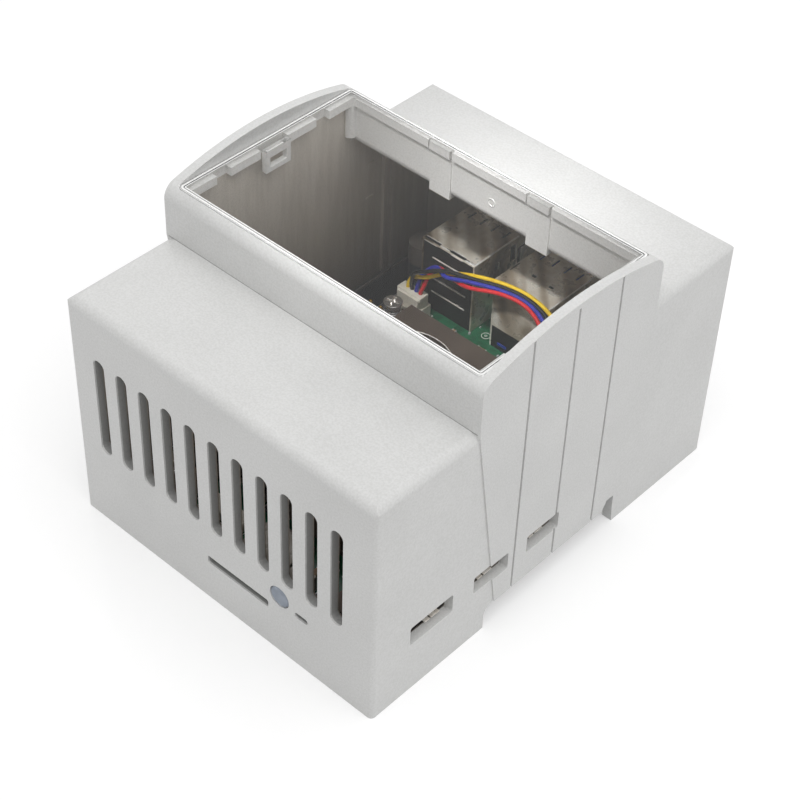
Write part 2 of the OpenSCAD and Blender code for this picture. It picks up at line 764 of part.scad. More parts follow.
module rail_clip() {
    color([0.2, 0.2, 0.21]) difference() {
        union() {
            translate([-clip_w / 2, rail_y1 + 0.6, clip_z])
                cube([clip_w, clip_end_y - rail_y1 - 0.6, clip_top - clip_z]);
            translate([-clip_w / 2 - clip_flange, rail_y1, clip_flange_z])
                cube([clip_w + 2 * clip_flange, strap_y0 + strap_d - rail_y1, clip_top - clip_flange_z]);
            // Nose with a slope that lets the rail snap in
            rotate([90, 0, 90]) linear_extrude(clip_w + 2 * clip_flange - 1, center = true)
                polygon([
                    [rail_y1 + eps, clip_flange_z], [rail_y1 - 0.3, clip_flange_z],
                    [clip_nose_y, clip_top - 0.5], [clip_nose_y, clip_top], [rail_y1 + eps, clip_top]
                ]);
        }
        // Window for the spring and its post
        translate([-clip_window_w / 2, clip_window_y, 0])
            cube([clip_window_w, spring_len + clip_post_d + 0.4, case_d]);
        // Slot for a screwdriver in the pull end
        translate([-3, clip_end_y - 3.4, 0]) cube([6, 1.6, case_d]);
        // The pull end is thinner, to pass under the tray's rim
        translate([-clip_w, clip_end_y - 4.6, tray_top]) cube([2 * clip_w, case_d, case_d]);
    }
}

module rail_clip_spring() {
    turns = 6;
    per_turn = 10;
    count = turns * per_turn;
    wire_r = 0.22;
    reel = spring_d / 2 - wire_r;
    mid_z = (clip_z + clip_top) / 2;
    rings = [
        for (i = [0:count]) let (a = 360 * i / per_turn, out = [cos(a), 0, sin(a)])
            for (k = [0:5]) let (b = 60 * k)
                [0, clip_window_y + 0.3 + (spring_len - 0.6) * i / count, mid_z]
                + reel * out + wire_r * (cos(b) * out + sin(b) * [0, 1, 0])
    ];
    skin = [
        for (i = [0:count - 1]) for (k = [0:5]) let (n = (k + 1) % 6)
            [6 * i + k, 6 * i + 6 + k, 6 * i + 6 + n, 6 * i + n]
    ];
    last = [for (k = [5:-1:0]) 6 * count + k];
    color([0.75, 0.76, 0.78]) polyhedron(rings, concat([[0, 1, 2, 3, 4, 5]], skin, [last]));
}

module shell_screws() {
    color([0.7, 0.71, 0.73]) for (y = [-column_y, column_y]) translate([column_x, y, tray_z]) {
        difference() {
            union() {
                cylinder(h = case_head_h, d1 = case_head_d, d2 = case_screw_d);
                cylinder(h = case_screw_h, d = case_screw_d);
            }
            translate([0, 0, -over]) cross_recess(0.9 + over);
        }
    }
}

// ---- Board ----

module cross_recess(depth) {
    for (a = [0, 90]) rotate(a) translate([-recess_w / 2, -recess_t / 2, 0])
        cube([recess_w, recess_t, depth]);
}

module computer_board() {
    color([0.05, 0.3, 0.18]) translate([(board_x0 + board_x1) / 2, (board_y0 + board_y1) / 2, board_z])
        linear_extrude(board_t) difference() {
            rounded_square(board_w, board_d, board_r);
            for (p = holes)
                translate([p.x - (board_x0 + board_x1) / 2, p.y - (board_y0 + board_y1) / 2])
                    circle(d = hole_d);
        }
}

module chip(at, size) {
    block(size, [board_x1 - at.x, board_y0 + at.y, board_top]);
}

module processor() {
    color([0.75, 0.75, 0.76]) chip(processor_at, concat(processor_size, cooler_lift));
}

module memory_chip() {
    color([0.12, 0.12, 0.13]) chip(memory_at, memory_size);
}

module io_chip() {
    color([0.12, 0.12, 0.13]) chip(io_at, io_size);
}

module power_chip() {
    color([0.12, 0.12, 0.13]) chip(power_at, power_size);
}

module radio_module() {
    color([0.72, 0.72, 0.7]) chip(radio_at, radio_size);
}

// A stack of two USB-A sockets: a folded sheet sleeve round a moulded insert
module usb_shell(u) {
    size = usb_size;
    x = board_x1 - u;
    y0 = board_y0 + jack_reach - size.y;
    difference() {
        translate([x - size.x / 2, y0, board_top]) cube(size);
        translate([x - size.x / 2 + sheet_t, y0 - over, board_top - over])
            cube([size.x - 2 * sheet_t, size.y + 2 * over, size.z - sheet_t + over]);
        // Slots along the top's inner end
        for (i = [-1:1])
            translate([x + i * usb_tab_pitch - usb_tab.x / 2, y0 + usb_tab_y, board_top + size.z - over])
                cube(concat(usb_tab, 2 * over));
        // Finger slits in the top near the mouth
        for (i = [-1.5:1:1.5])
            translate([x + i * usb_slit_pitch - usb_slit.x / 2, y0 + size.y - usb_slit_y - usb_slit.y,
                board_top + size.z - over]) cube(concat(usb_slit, 2 * over));
    }
}

module usb_insert(u) {
    size = usb_size;
    x = board_x1 - u;
    y0 = board_y0 + jack_reach - size.y;
    inner = size.x - 2 * (sheet_t + sheet_gap);
    front = y0 + sheet_gap;
    difference() {
        translate([x - inner / 2, front, board_top])
            cube([inner, y0 + size.y - insert_back - front, size.z - sheet_t - sheet_gap]);
        for (z = usb_port_z) block([usb_port_size.x, size.y, usb_port_size.y],
            [x, y0 + usb_port_back + size.y / 2, board_top + z - usb_port_size.y / 2]);
    }
    // Contact tongues
    for (z = usb_port_z)
        block(usb_tongue, [x, y0 + usb_tongue_y + usb_tongue.y / 2, board_top + z - 0.2]);
}

module usb_shell_left() {
    color([0.74, 0.71, 0.65]) usb_shell(usb_u[0]);
}

module usb_insert_left() {
    color([0.08, 0.08, 0.09]) usb_insert(usb_u[0]);
}

module usb_shell_right() {
    color([0.74, 0.71, 0.65]) usb_shell(usb_u[1]);
}

module usb_insert_right() {
    color([0.1, 0.25, 0.7]) usb_insert(usb_u[1]);
}

module network_jack() {
    size = network_size;
    color([0.74, 0.71, 0.65]) difference() {
        block(size, [board_x1 - network_u, board_y0 + jack_reach - size.y / 2, board_top]);
        block([size.x - 2 * sheet_t, size.y, size.z - sheet_t + over],
            [board_x1 - network_u, board_y0 + jack_reach - size.y / 2 + sheet_t, board_top - over]);
    }
}

module network_insert() {
    size = network_size;
    mouth_y = board_y0 + jack_reach - insert_back;
    inner = [size.x - 2 * (sheet_t + sheet_gap), size.y - sheet_t - sheet_gap - insert_back,
        size.z - sheet_t - sheet_gap];
    color([0.1, 0.1, 0.11]) difference() {
        block(inner, [board_x1 - network_u, mouth_y - inner.y / 2, board_top]);
        block(network_port, [board_x1 - network_u, mouth_y - network_port.y / 2 + over,
            board_top + network_port_z]);
        block(network_key, [board_x1 - network_u, mouth_y - network_key.y / 2 + over,
            board_top + network_key_z]);
    }
}

// A socket shell that looks out of the port wall, with a tongue of its own
module port_shell(v, size, r) {
    translate([board_x1 + port_reach - size.x, board_y0 + v, board_top + size.z / 2])
        rotate([90, 0, 90]) difference() {
            linear_extrude(size.x) rounded_square(size.y, size.z, r);
            translate([0, 0, 1]) linear_extrude(size.x)
                rounded_square(size.y - 2 * sheet_t, size.z - 2 * sheet_t, r - sheet_t);
        }
}

module usb_c_shell() {
    color([0.78, 0.77, 0.74]) port_shell(usb_c_v, usb_c_size, usb_c_size.z / 2 - eps);
}

module usb_c_tongue() {
    size = usb_c_size;
    color([0.08, 0.08, 0.09])
        block([size.x - 2, 6.6, 0.7], [board_x1 + port_reach - size.x / 2, board_y0 + usb_c_v,
            board_top + size.z / 2 - 0.35]);
}

module hdmi_shell_front() {
    color([0.78, 0.77, 0.74]) port_shell(hdmi_v[0], hdmi_size, 0.6);
}

module hdmi_shell_rear() {
    color([0.78, 0.77, 0.74]) port_shell(hdmi_v[1], hdmi_size, 0.6);
}

module hdmi_tongues() {
    size = hdmi_size;
    color([0.08, 0.08, 0.09]) for (v = hdmi_v)
        block([size.x - 2, 4.6, 0.6], [board_x1 + port_reach - size.x / 2, board_y0 + v,
            board_top + size.z / 2 - 0.3]);
}

module header_block() {
    color([0.06, 0.06, 0.07])
        block(header_size, [board_x0 + hole_inset, board_y0 + header_v, board_top]);
}

// Pins stand on the header's block and pass no further than its underside
module header_pins() {
    color([0.85, 0.7, 0.35]) for (row = [-0.5, 0.5], i = [0:header_rows - 1])
        block(pin_size, [board_x0 + hole_inset + row * header_pitch,
            board_y0 + header_v + (i - (header_rows - 1) / 2) * header_pitch,
            board_top + header_size.z]);
}

module camera_socket() {
    color([0.15, 0.13, 0.12]) difference() {
        chip(camera_at, camera_size);
        chip(camera_at, concat(camera_slot, camera_size.z + over));
    }
}

module expansion_socket() {
    color([0.78, 0.76, 0.7]) chip(expansion_at, expansion_size);
}

module card_socket() {
    color([0.72, 0.72, 0.7]) difference() {
        translate([board_x1 - card_u - card_size.x / 2, board_y0, board_z - card_size.z]) cube(card_size);
        translate([board_x1 - card_u - 11.4 / 2, board_y0 - over, board_z - card_size.z / 2 - 0.4])
            cube([11.4, 12, 0.8]);
    }
}

module push_switch() {
    color([0.7, 0.7, 0.7]) difference() {
        translate([board_x1 - switch_u - switch_size.x / 2, board_y0 + 0.5, board_top]) cube(switch_size);
        translate([board_x1 - switch_u, board_y0 + 2.5, board_top + switch_rise]) rotate([90, 0, 0])
            cylinder(h = 3, d = 2.1);
    }
}

module switch_plunger() {
    color([0.1, 0.1, 0.11])
        translate([board_x1 - switch_u, -in_d / 2 + 0.05, board_top + switch_rise]) rotate([-90, 0, 0])
            cylinder(h = card_gap + 2.45 - button_travel - 0.1, d = 2);
}

module status_light() {
    color([0.85, 0.9, 0.8]) chip([led_u, light_v], light_size);
}

module fan_socket() {
    color([0.9, 0.88, 0.8]) difference() {
        block(fan_socket_size, [fan_socket_place.x, fan_socket_place.y, board_top]);
        block([fan_plug_size.x + 0.1, fan_plug_size.y + 0.1, fan_socket_size.z],
            [fan_socket_place.x, fan_socket_place.y, board_top + 0.6]);
    }
}

module fan_plug() {
    low = board_top + 0.6;
    color([0.92, 0.9, 0.83]) {
        block([fan_plug_size.x, fan_plug_size.y, lead_route[0].z - 0.4 - low],
            [fan_socket_place.x, fan_socket_place.y, low]);
        block([fan_plug_size.x + 0.6, fan_plug_size.y - 0.8, 1],
            [fan_socket_place.x, fan_socket_place.y, lead_route[0].z - 1]);
    }
}

// ---- Cooler ----

module cooler_outline() {
    translate([cooler_x0, cooler_y0]) square([cooler_x1 - cooler_x0, cooler_y1 - cooler_y0]);
}

// Air gaps between the fins, from the fan to the card edge, open on top for most of their length
module fin_gaps() {
    first = (cooler_x0 + cooler_x1) / 2 - (fin_count - 1) / 2 * fin_pitch;
    for (i = [0:fin_count - 1]) {
        x = first + i * fin_pitch;
        by_fan = abs(x - fan_x) < fan_hole_d / 2 + fin_end;
        air_y = by_fan ? fan_y : fan_y - arm_w;
        top_y = by_fan ? fan_y - fan_hole_d / 2 - fin_end : fan_y - arm_w - fin_end;
        translate([x - fin_gap / 2, cooler_y0 - over, cooler_z + cooler_floor])
            cube([fin_gap, air_y - cooler_y0 + over, cooler_h - cooler_floor - cooler_top]);
        translate([x - fin_gap / 2, cooler_y0 + fin_bridge, cooler_z + cooler_floor])
            cube([fin_gap, top_y - cooler_y0 - fin_bridge, cooler_h]);
    }
}

module heatsink() {
    floor_z = cooler_z + cooler_floor;
    color([0.36, 0.33, 0.3]) difference() {
        union() {
            translate([0, 0, cooler_z]) linear_extrude(cooler_h) cooler_outline();
            // Arms out to the four mounting holes
            for (p = holes) {
                in_x = p.x < fan_x ? cooler_x0 + 2 : cooler_x1 - 2;
                in_y = p.y < fan_y ? cooler_y0 + 2 : p.y;
                translate([p.x, p.y, cooler_z]) cylinder(h = ear_t, r = ear_r);
                translate([min(p.x, in_x), p.y - 2, cooler_z]) cube([abs(p.x - in_x), 4, ear_t]);
                translate([in_x - 2, min(p.y - 2, in_y), cooler_z])
                    cube([4, abs(in_y - p.y) + 2, ear_t]);
                translate([p.x, p.y, board_top]) cylinder(h = cooler_lift + eps, r = 2.4);
            }
        }
        // Deck cut away around the screw heads next to the deck
        for (p = holes) translate([p.x, p.y, cooler_z + ear_t])
            cylinder(h = cooler_h, r = head_d / 2 + 0.4);
        for (p = holes) translate([p.x, p.y, board_z]) cylinder(h = cooler_h, d = hole_d);
        translate([fan_x, fan_y, floor_z]) cylinder(h = cooler_h, d = fan_hole_d);
        fin_gaps();
        // Way for the fan's arm and lead under the top plate
        translate([fan_x, fan_y - arm_w / 2 - arm_gap, floor_z])
            cube([lead_x - fan_x, arm_w + 2 * arm_gap, arm_t + arm_gap]);
        translate([lead_x - lead_w / 2, fan_y - arm_w / 2 - arm_gap, floor_z])
            cube([lead_w, cooler_y1, cooler_h - cooler_floor - cooler_top]);
    }
}

module fan_stator() {
    floor_z = cooler_z + cooler_floor;
    color([0.08, 0.08, 0.09]) {
        translate([fan_x, fan_y, floor_z]) {
            cylinder(h = 0.8, d = hub_d - 2);
            cylinder(h = cooler_top_z - floor_z - 0.5, d = shaft_d);
        }
        // Arm that carries the soldering pad beside the blades
        translate([fan_x, fan_y - arm_w / 2, floor_z])
            cube([lead_x + arm_w / 2 - fan_x, arm_w, arm_t]);
        translate([lead_x - arm_w / 2, fan_y - arm_w / 2, floor_z])
            cube([arm_w, solder_y + solder_pad.y - fan_y, arm_t]);
        block(solder_pad, [lead_x, solder_y, floor_z]);
    }
}

module fan_rotor() {
    color([0.07, 0.07, 0.08]) translate([fan_x, fan_y, rotor_z]) difference() {
        union() {
            cylinder(h = rotor_h, d = hub_d);
            for (i = [0:fan_blades - 1]) rotate(360 * i / fan_blades) intersection() {
                cylinder(h = rotor_h, d = rotor_d);
                translate([hub_d / 2 - 0.5, 0, rotor_h / 2]) rotate([blade_tilt, 0, 0])
                    translate([0, -blade_w / 2, -blade_t / 2]) cube([rotor_d, blade_w, blade_t]);
            }
        }
        translate([0, 0, -over]) cylinder(h = rotor_h + 2 * over, d = shaft_d + 0.1);
    }
}

module cooler_screws() {
    color([0.75, 0.76, 0.78]) for (p = holes) translate([p.x, p.y, cooler_z + ear_t + spring_h]) {
        difference() {
            translate([0, 0, 0]) cylinder(h = 1.3, d = head_d);
            translate([0, 0, 0.6]) rotate(20) cross_recess(1);
        }
        translate([0, 0, board_z - cooler_z - ear_t - spring_h - boss_bore + 0.3])
            cylinder(h = cooler_z + ear_t + spring_h - board_z + boss_bore - 0.3 + eps, d = thread_d - 0.04);
    }
}

module cooler_springs() {
    color([0.75, 0.76, 0.78]) for (p = holes) translate([p.x, p.y, cooler_z + ear_t])
        for (i = [0:spring_turns - 1])
            translate([0, 0, spring_wire_r + i * (spring_h - 2 * spring_wire_r) / (spring_turns - 1)])
                rotate_extrude($fn = 24) translate([spring_reel, 0]) circle(spring_wire_r, $fn = 16);
}

module wire_yellow() {
    color([0.95, 0.8, 0.1]) wire(concat(yellow_start, tail(lane_route(1.5), 5)));
}

module wire_black() {
    color([0.08, 0.08, 0.08]) wire(concat(black_start, tail(lane_route(0.5), 5)));
}

module wire_blue() {
    color([0.15, 0.17, 0.6]) wire(concat(blue_start, tail(lane_route(-0.5), 5)));
}

module wire_red() {
    color([0.8, 0.1, 0.12]) wire(concat(red_start, tail(lane_route(-1.5), 6)));
}

upper_shell();
base_shell();
window_lid();
power_button();
rail_clip();
rail_clip_spring();
shell_screws();
computer_board();
processor();
memory_chip();
io_chip();
power_chip();
radio_module();
usb_shell_left();
usb_insert_left();
usb_shell_right();
usb_insert_right();
network_jack();
network_insert();
usb_c_shell();
usb_c_tongue();
hdmi_shell_front();
hdmi_shell_rear();
hdmi_tongues();
header_block();
header_pins();
camera_socket();
expansion_socket();
card_socket();
push_switch();
switch_plunger();
status_light();
fan_socket();
fan_plug();
heatsink();
fan_stator();
fan_rotor();
cooler_screws();
cooler_springs();
wire_yellow();
wire_black();
wire_blue();
wire_red();
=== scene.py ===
import json
from math import cos, pi, radians, sin

import bmesh
import bpy
from mathutils import Euler, Matrix, Vector

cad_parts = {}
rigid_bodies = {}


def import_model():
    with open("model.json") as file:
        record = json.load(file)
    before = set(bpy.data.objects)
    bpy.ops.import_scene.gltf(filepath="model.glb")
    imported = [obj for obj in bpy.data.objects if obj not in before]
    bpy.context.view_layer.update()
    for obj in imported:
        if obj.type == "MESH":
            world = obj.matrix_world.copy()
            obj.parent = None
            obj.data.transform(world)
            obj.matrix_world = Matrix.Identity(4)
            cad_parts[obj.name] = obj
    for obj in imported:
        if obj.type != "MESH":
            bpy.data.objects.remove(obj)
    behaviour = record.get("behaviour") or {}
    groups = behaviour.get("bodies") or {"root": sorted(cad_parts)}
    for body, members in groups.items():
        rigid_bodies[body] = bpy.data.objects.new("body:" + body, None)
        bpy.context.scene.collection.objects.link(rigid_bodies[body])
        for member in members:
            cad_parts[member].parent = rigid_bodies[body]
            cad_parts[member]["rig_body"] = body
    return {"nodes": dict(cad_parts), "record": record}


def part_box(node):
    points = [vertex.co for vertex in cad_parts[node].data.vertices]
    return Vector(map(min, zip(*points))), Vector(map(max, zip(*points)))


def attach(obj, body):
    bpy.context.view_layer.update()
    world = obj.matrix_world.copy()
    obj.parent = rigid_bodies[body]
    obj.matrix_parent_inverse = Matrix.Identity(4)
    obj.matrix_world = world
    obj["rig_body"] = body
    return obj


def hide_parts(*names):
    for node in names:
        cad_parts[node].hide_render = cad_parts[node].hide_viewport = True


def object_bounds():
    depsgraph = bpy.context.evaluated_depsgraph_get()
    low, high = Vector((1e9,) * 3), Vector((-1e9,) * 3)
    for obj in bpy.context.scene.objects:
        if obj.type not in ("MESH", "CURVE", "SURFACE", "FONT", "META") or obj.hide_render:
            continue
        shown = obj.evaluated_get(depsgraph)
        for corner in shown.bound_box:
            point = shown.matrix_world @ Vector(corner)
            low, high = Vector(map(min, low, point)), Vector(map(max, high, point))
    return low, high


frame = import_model()
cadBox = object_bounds()
nodes = frame["nodes"]
slotOf = {part["node"]: part["material_slot"] for part in frame["record"]["subparts"]}
mm = 0.001

print("camera")
camera = {
    "place": (0.16867, -0.19283, 0.25649),
    "turn": (47.129, -1.677, 42.859),
    "lens": 87.555,
}
cameraData = bpy.data.cameras.new("camera")
cameraData.lens = camera["lens"]
cameraData.sensor_width = 36
cameraData.clip_start = 0.01
cameraData.clip_end = 20
cameraObject = bpy.data.objects.new("camera", cameraData)
bpy.context.scene.collection.objects.link(cameraObject)
cameraObject.location = camera["place"]
cameraObject.rotation_euler = Euler([radians(a) for a in camera["turn"]])
bpy.context.scene.camera = cameraObject
bpy.context.scene.view_settings.view_transform = "Standard"


# small helpers

def linear(hexText):
    # sRGB hex to the linear colour the shader sockets want
    channels = [int(hexText[i:i + 2], 16) / 255 for i in (1, 3, 5)]
    return [c / 12.92 if c <= 0.04045 else ((c + 0.055) / 1.055) ** 2.4 for c in channels] + [1.0]


def feed(tree, node, inputs):
    # a node or a socket is linked to the input it is named for, and any other value is set on it
    for name, value in inputs.items():
        if isinstance(value, bpy.types.Node):
            value = value.outputs[0]
        if isinstance(value, bpy.types.NodeSocket):
            tree.links.new(value, node.inputs[name])
        else:
            node.inputs[name].default_value = value


def addNode(tree, kind, inputs, settings=None, stops=()):
    # one node with what feeds it, its settings and its colour stops
    node = tree.nodes.new("ShaderNode" + kind)
    for name, value in (settings or {}).items():
        setattr(node, name, value)
    feed(tree, node, inputs)
    if stops:
        elements = node.color_ramp.elements
        while len(elements) < len(stops):
            elements.new(0.5)
        for element, (place, hexText) in zip(elements, stops):
            element.position = place
            element.color = linear(hexText)
    return node


blended = {"data_type": "RGBA"}
multiplied = {"data_type": "RGBA", "blend_type": "MULTIPLY"}


def newMaterial(name, sockets):
    material = bpy.data.materials.new(name)
    material.use_nodes = True
    tree = material.node_tree
    shader = tree.nodes["Principled BSDF"]
    feed(tree, shader, sockets)
    return material, tree, shader


def perMm(size):
    # noise scale in 1/m for a pattern whose features are this many mm across
    return 1.0 / (size * mm)


def finishPiece(bm, name, body, material, stands=()):
    # closed and facing outward, smooth but for its hard edges, and riding on its body
    bmesh.ops.recalc_face_normals(bm, faces=bm.faces)
    mesh = bpy.data.meshes.new(name)
    bm.to_mesh(mesh)
    bm.free()
    for each in material if isinstance(material, list) else [material]:
        mesh.materials.append(each)
    mesh.shade_smooth()
    mesh.set_sharp_from_angle(angle=radians(35))
    piece = bpy.data.objects.new(name, mesh)
    bpy.context.scene.collection.objects.link(piece)
    piece.modifiers.new("even shading", "WEIGHTED_NORMAL").keep_sharp = True
    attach(piece, body)
    if stands:
        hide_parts(*stands)


def mergedCopy(nodeName):
    # the CAD mesh is loose triangles, so a copy is merged into whole faces first
    bm = bmesh.new()
    bm.from_mesh(nodes[nodeName].data)
    bmesh.ops.remove_doubles(bm, verts=bm.verts, dist=0.002 * mm)
    bmesh.ops.dissolve_limit(bm, angle_limit=radians(0.4), verts=bm.verts, edges=bm.edges)
    return bm


def bevelEdges(bm, edges, width, segments=2):
    bmesh.ops.bevel(bm, geom=edges, offset=width * mm, offset_type="OFFSET", segments=segments,
                    profile=0.5, affect="EDGES", clamp_overlap=True, material=-1)


def sharpEdges(bm):
    return [e for e in bm.edges if len(e.link_faces) == 2 and e.calc_face_angle(0) > radians(30)]


def softened(nodeName, width):
    # a CAD node's own shape with its hard edges broken
    bm = mergedCopy(nodeName)
    bevelEdges(bm, sharpEdges(bm), width)
    slotName = slotOf[nodeName]
    material = paintedHighlight if nodeName in paintedHighlightNodes else finishes[slotName]
    finishPiece(bm, nodeName + "_finish", nodes[nodeName]["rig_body"], material, [nodeName])


def addBox(bm, size, centre, edge=0.0, segments=2):
    # sizes and places in mm
    verts = bmesh.ops.create_cube(bm, size=1)["verts"]
    bmesh.ops.scale(bm, vec=Vector(size) * mm, verts=verts)
    bmesh.ops.translate(bm, vec=Vector(centre) * mm, verts=verts)
    if edge:
        bevelEdges(bm, list({e for v in verts for e in v.link_edges}), edge, segments)


def addDrum(bm, radius, height, centre, edge, sides):
    verts = bmesh.ops.create_cone(
        bm, cap_ends=True, segments=sides, radius1=radius * mm, radius2=radius * mm, depth=height * mm)["verts"]
    bmesh.ops.translate(bm, vec=Vector(centre) * mm, verts=verts)
    rims = list({e for v in verts for e in v.link_edges if e.calc_face_angle(0) > radians(50)})
    bevelEdges(bm, rims, edge)


def addRing(bm, radius, tube, centre, turn=Matrix.Identity(3), sides=40):
    # a small circle spun into a thin round ring, lying flat unless it is turned
    verts = bmesh.ops.create_circle(bm, cap_ends=False, segments=8, radius=tube * mm)["verts"]
    bmesh.ops.rotate(bm, cent=(0, 0, 0), matrix=Matrix.Rotation(pi / 2, 3, "X"), verts=verts)
    bmesh.ops.translate(bm, vec=(radius * mm, 0, 0), verts=verts)
    bmesh.ops.rotate(bm, cent=(0, 0, 0), matrix=turn, verts=verts)
    bmesh.ops.translate(bm, vec=Vector(centre) * mm, verts=verts)
    edges = list({e for v in verts for e in v.link_edges})
    bmesh.ops.spin(bm, geom=verts + edges, cent=Vector(centre) * mm, axis=turn @ Vector((0, 0, 1)),
                   angle=2 * pi, steps=sides, use_merge=True)


def boxPiece(name, body, material, items, edge=0.05, segments=2):
    # several small bevelled blocks of one material as one piece: (size, centre) in mm
    bm = bmesh.new()
    for size, centre in items:
        addBox(bm, size, centre, edge, segments)
    finishPiece(bm, name, body, material)


def sweptTubes(lines, radius, resolution):
    # round tubes with closed ends along lines of points in mm
    curve = bpy.data.curves.new("tubes", "CURVE")
    curve.dimensions = "3D"
    curve.bevel_depth = radius * mm
    curve.bevel_resolution = resolution
    curve.use_fill_caps = True
    for line in lines:
        spline = curve.splines.new("POLY")
        spline.points.add(len(line) - 1)
        for point, spot in zip(spline.points, line):
            point.co = (*(spot * mm), 1)
    drawn = bpy.data.objects.new("tubes", curve)
    bpy.context.scene.collection.objects.link(drawn)
    bpy.context.view_layer.update()
    mesh = bpy.data.meshes.new_from_object(drawn.evaluated_get(bpy.context.evaluated_depsgraph_get()))
    bpy.data.objects.remove(drawn)
    bm = bmesh.new()
    bm.from_mesh(mesh)
    bmesh.ops.remove_doubles(bm, verts=bm.verts, dist=0.001 * mm)
    return bm


print("materials")
# where shade and light are painted on the case's inside: boxes in mm as x, y and z (from, to), mirrored in x
# and y
paintedShadeZones = {
    "seat": [((0, 33.9), (0, 20.7), (47.4, 0))],
    "vents": [((0, 33.7), (43.5, 44.9), (2.7, 47))],
    "walls": [
        ((0, 33.7), (0, 43.5), (7.05, 47.4)), ((0, 33.7), (19.8, 43.5), (2.7, 47.4)),
        ((33.2, 33.9), (0, 20.7), (7.05, 56.2)), ((33.2, 33.9), (19.8, 20.7), (2.7, 56.2))],
}


def zoneMask(tree, place, boxes):
    # 1 inside any of the boxes and 0 outside them; a limit of 0 leaves that side open
    axes = addNode(tree, "SeparateXYZ", {"Vector": place})
    spots = [addNode(tree, "Math", {0: axes.outputs[i]}, {"operation": "ABSOLUTE"}) for i in (0, 1)]
    spots.append(axes.outputs["Z"])
    mask = 0.0
    for box in boxes:
        inside = 1.0
        for spot, limits in zip(spots, box):
            for operation, limit in zip(("GREATER_THAN", "LESS_THAN"), limits):
                if limit:
                    test = addNode(tree, "Math", {0: spot, 1: limit * mm}, {"operation": operation})
                    inside = addNode(tree, "Math", {0: inside, 1: test}, {"operation": "MULTIPLY"})
        mask = addNode(tree, "Math", {0: mask, 1: inside}, {"operation": "MAXIMUM"})
    return mask


def paintedInsideShade(tree, place, outside, darkBelow=10.4):
    # painted shade and light: the inner walls are painted browner and darker downwards, the vent walls a
    # painted grey shade, and the seat and the skirt round the window a painted bright
    height = addNode(tree, "SeparateXYZ", {"Vector": place}).outputs["Z"]
    fall = addNode(tree, "MapRange", {"Value": height, "From Min": darkBelow * mm, "From Max": 52 * mm})
    # painted shade: the wall colour darkens downwards, nearly black below darkBelow
    depth = addNode(tree, "ValToRGB", {"Fac": fall}, stops=[
        (0.0, "#4A4C50"), (0.02, "#6E6761"), (0.4, "#A1998F"), (1.0, "#DBD5CC")])
    drawn = addNode(tree, "Mapping", {"Vector": place, "Scale": (1.0, 1.0, 0.1)})
    streaks = addNode(tree, "TexNoise", {"Vector": drawn, "Scale": perMm(1.1), "Detail": 3.0})
    pale = addNode(tree, "ValToRGB", {"Fac": streaks}, stops=[(0.35, "#F3F2F1"), (0.65, "#FFFFFF")])
    depth = addNode(tree, "Mix", {"Factor": 1.0, 6: depth, 7: pale}, multiplied)
    colour = outside
    paintedInnerShades = {"seat": linear("#FAFAF9"), "vents": linear("#A2A2A1"), "walls": depth.outputs[2]}
    for zone, shade in paintedInnerShades.items():
        mask = zoneMask(tree, place, paintedShadeZones[zone])
        colour = addNode(tree, "Mix", {"Factor": mask, 6: colour, 7: shade}, blended).outputs[2]
    return colour


def trayPaintedShade(tree, place, outside):
    return paintedInsideShade(tree, place, outside, 17)


def mouldedPlastic(name, shades, roughness, grain, grainSize, patchSize=14, paintedShading=None):
    # moulded plastic: an even colour with faint flow patches and a fine spark-eroded grain
    material, tree, shader = newMaterial(name, {"IOR": 1.53})
    place = addNode(tree, "TexCoord", {}).outputs["Object"]
    patches = addNode(tree, "TexNoise", {
        "Vector": place, "Scale": perMm(patchSize), "Detail": 3.0, "Roughness": 0.5})
    colour = addNode(tree, "ValToRGB", {"Fac": patches}, stops=[(0.3, shades[0]), (0.7, shades[1])])
    # where given, painted shade and painted light for the inside of the case
    if paintedShading:
        colour = paintedShading(tree, place, colour)
    fine = addNode(tree, "TexNoise", {
        "Vector": place, "Scale": perMm(grainSize), "Detail": 4.0, "Roughness": 0.6})
    specks = addNode(tree, "ValToRGB", {"Fac": fine}, stops=[(0.36, "#F3F3F2"), (0.62, "#FFFFFF")])
    speckled = addNode(tree, "Mix", {"Factor": 1.0, 6: colour, 7: specks}, multiplied)
    feed(tree, shader, {
        "Base Color": speckled.outputs[2],
        "Roughness": addNode(tree, "MapRange", {
            "Value": fine, "From Min": 0.3, "From Max": 0.7,
            "To Min": roughness - 0.05, "To Max": roughness + 0.07}),
        "Normal": addNode(tree, "Bump", {"Height": fine, "Strength": grain, "Distance": 0.03 * mm})})
    return material


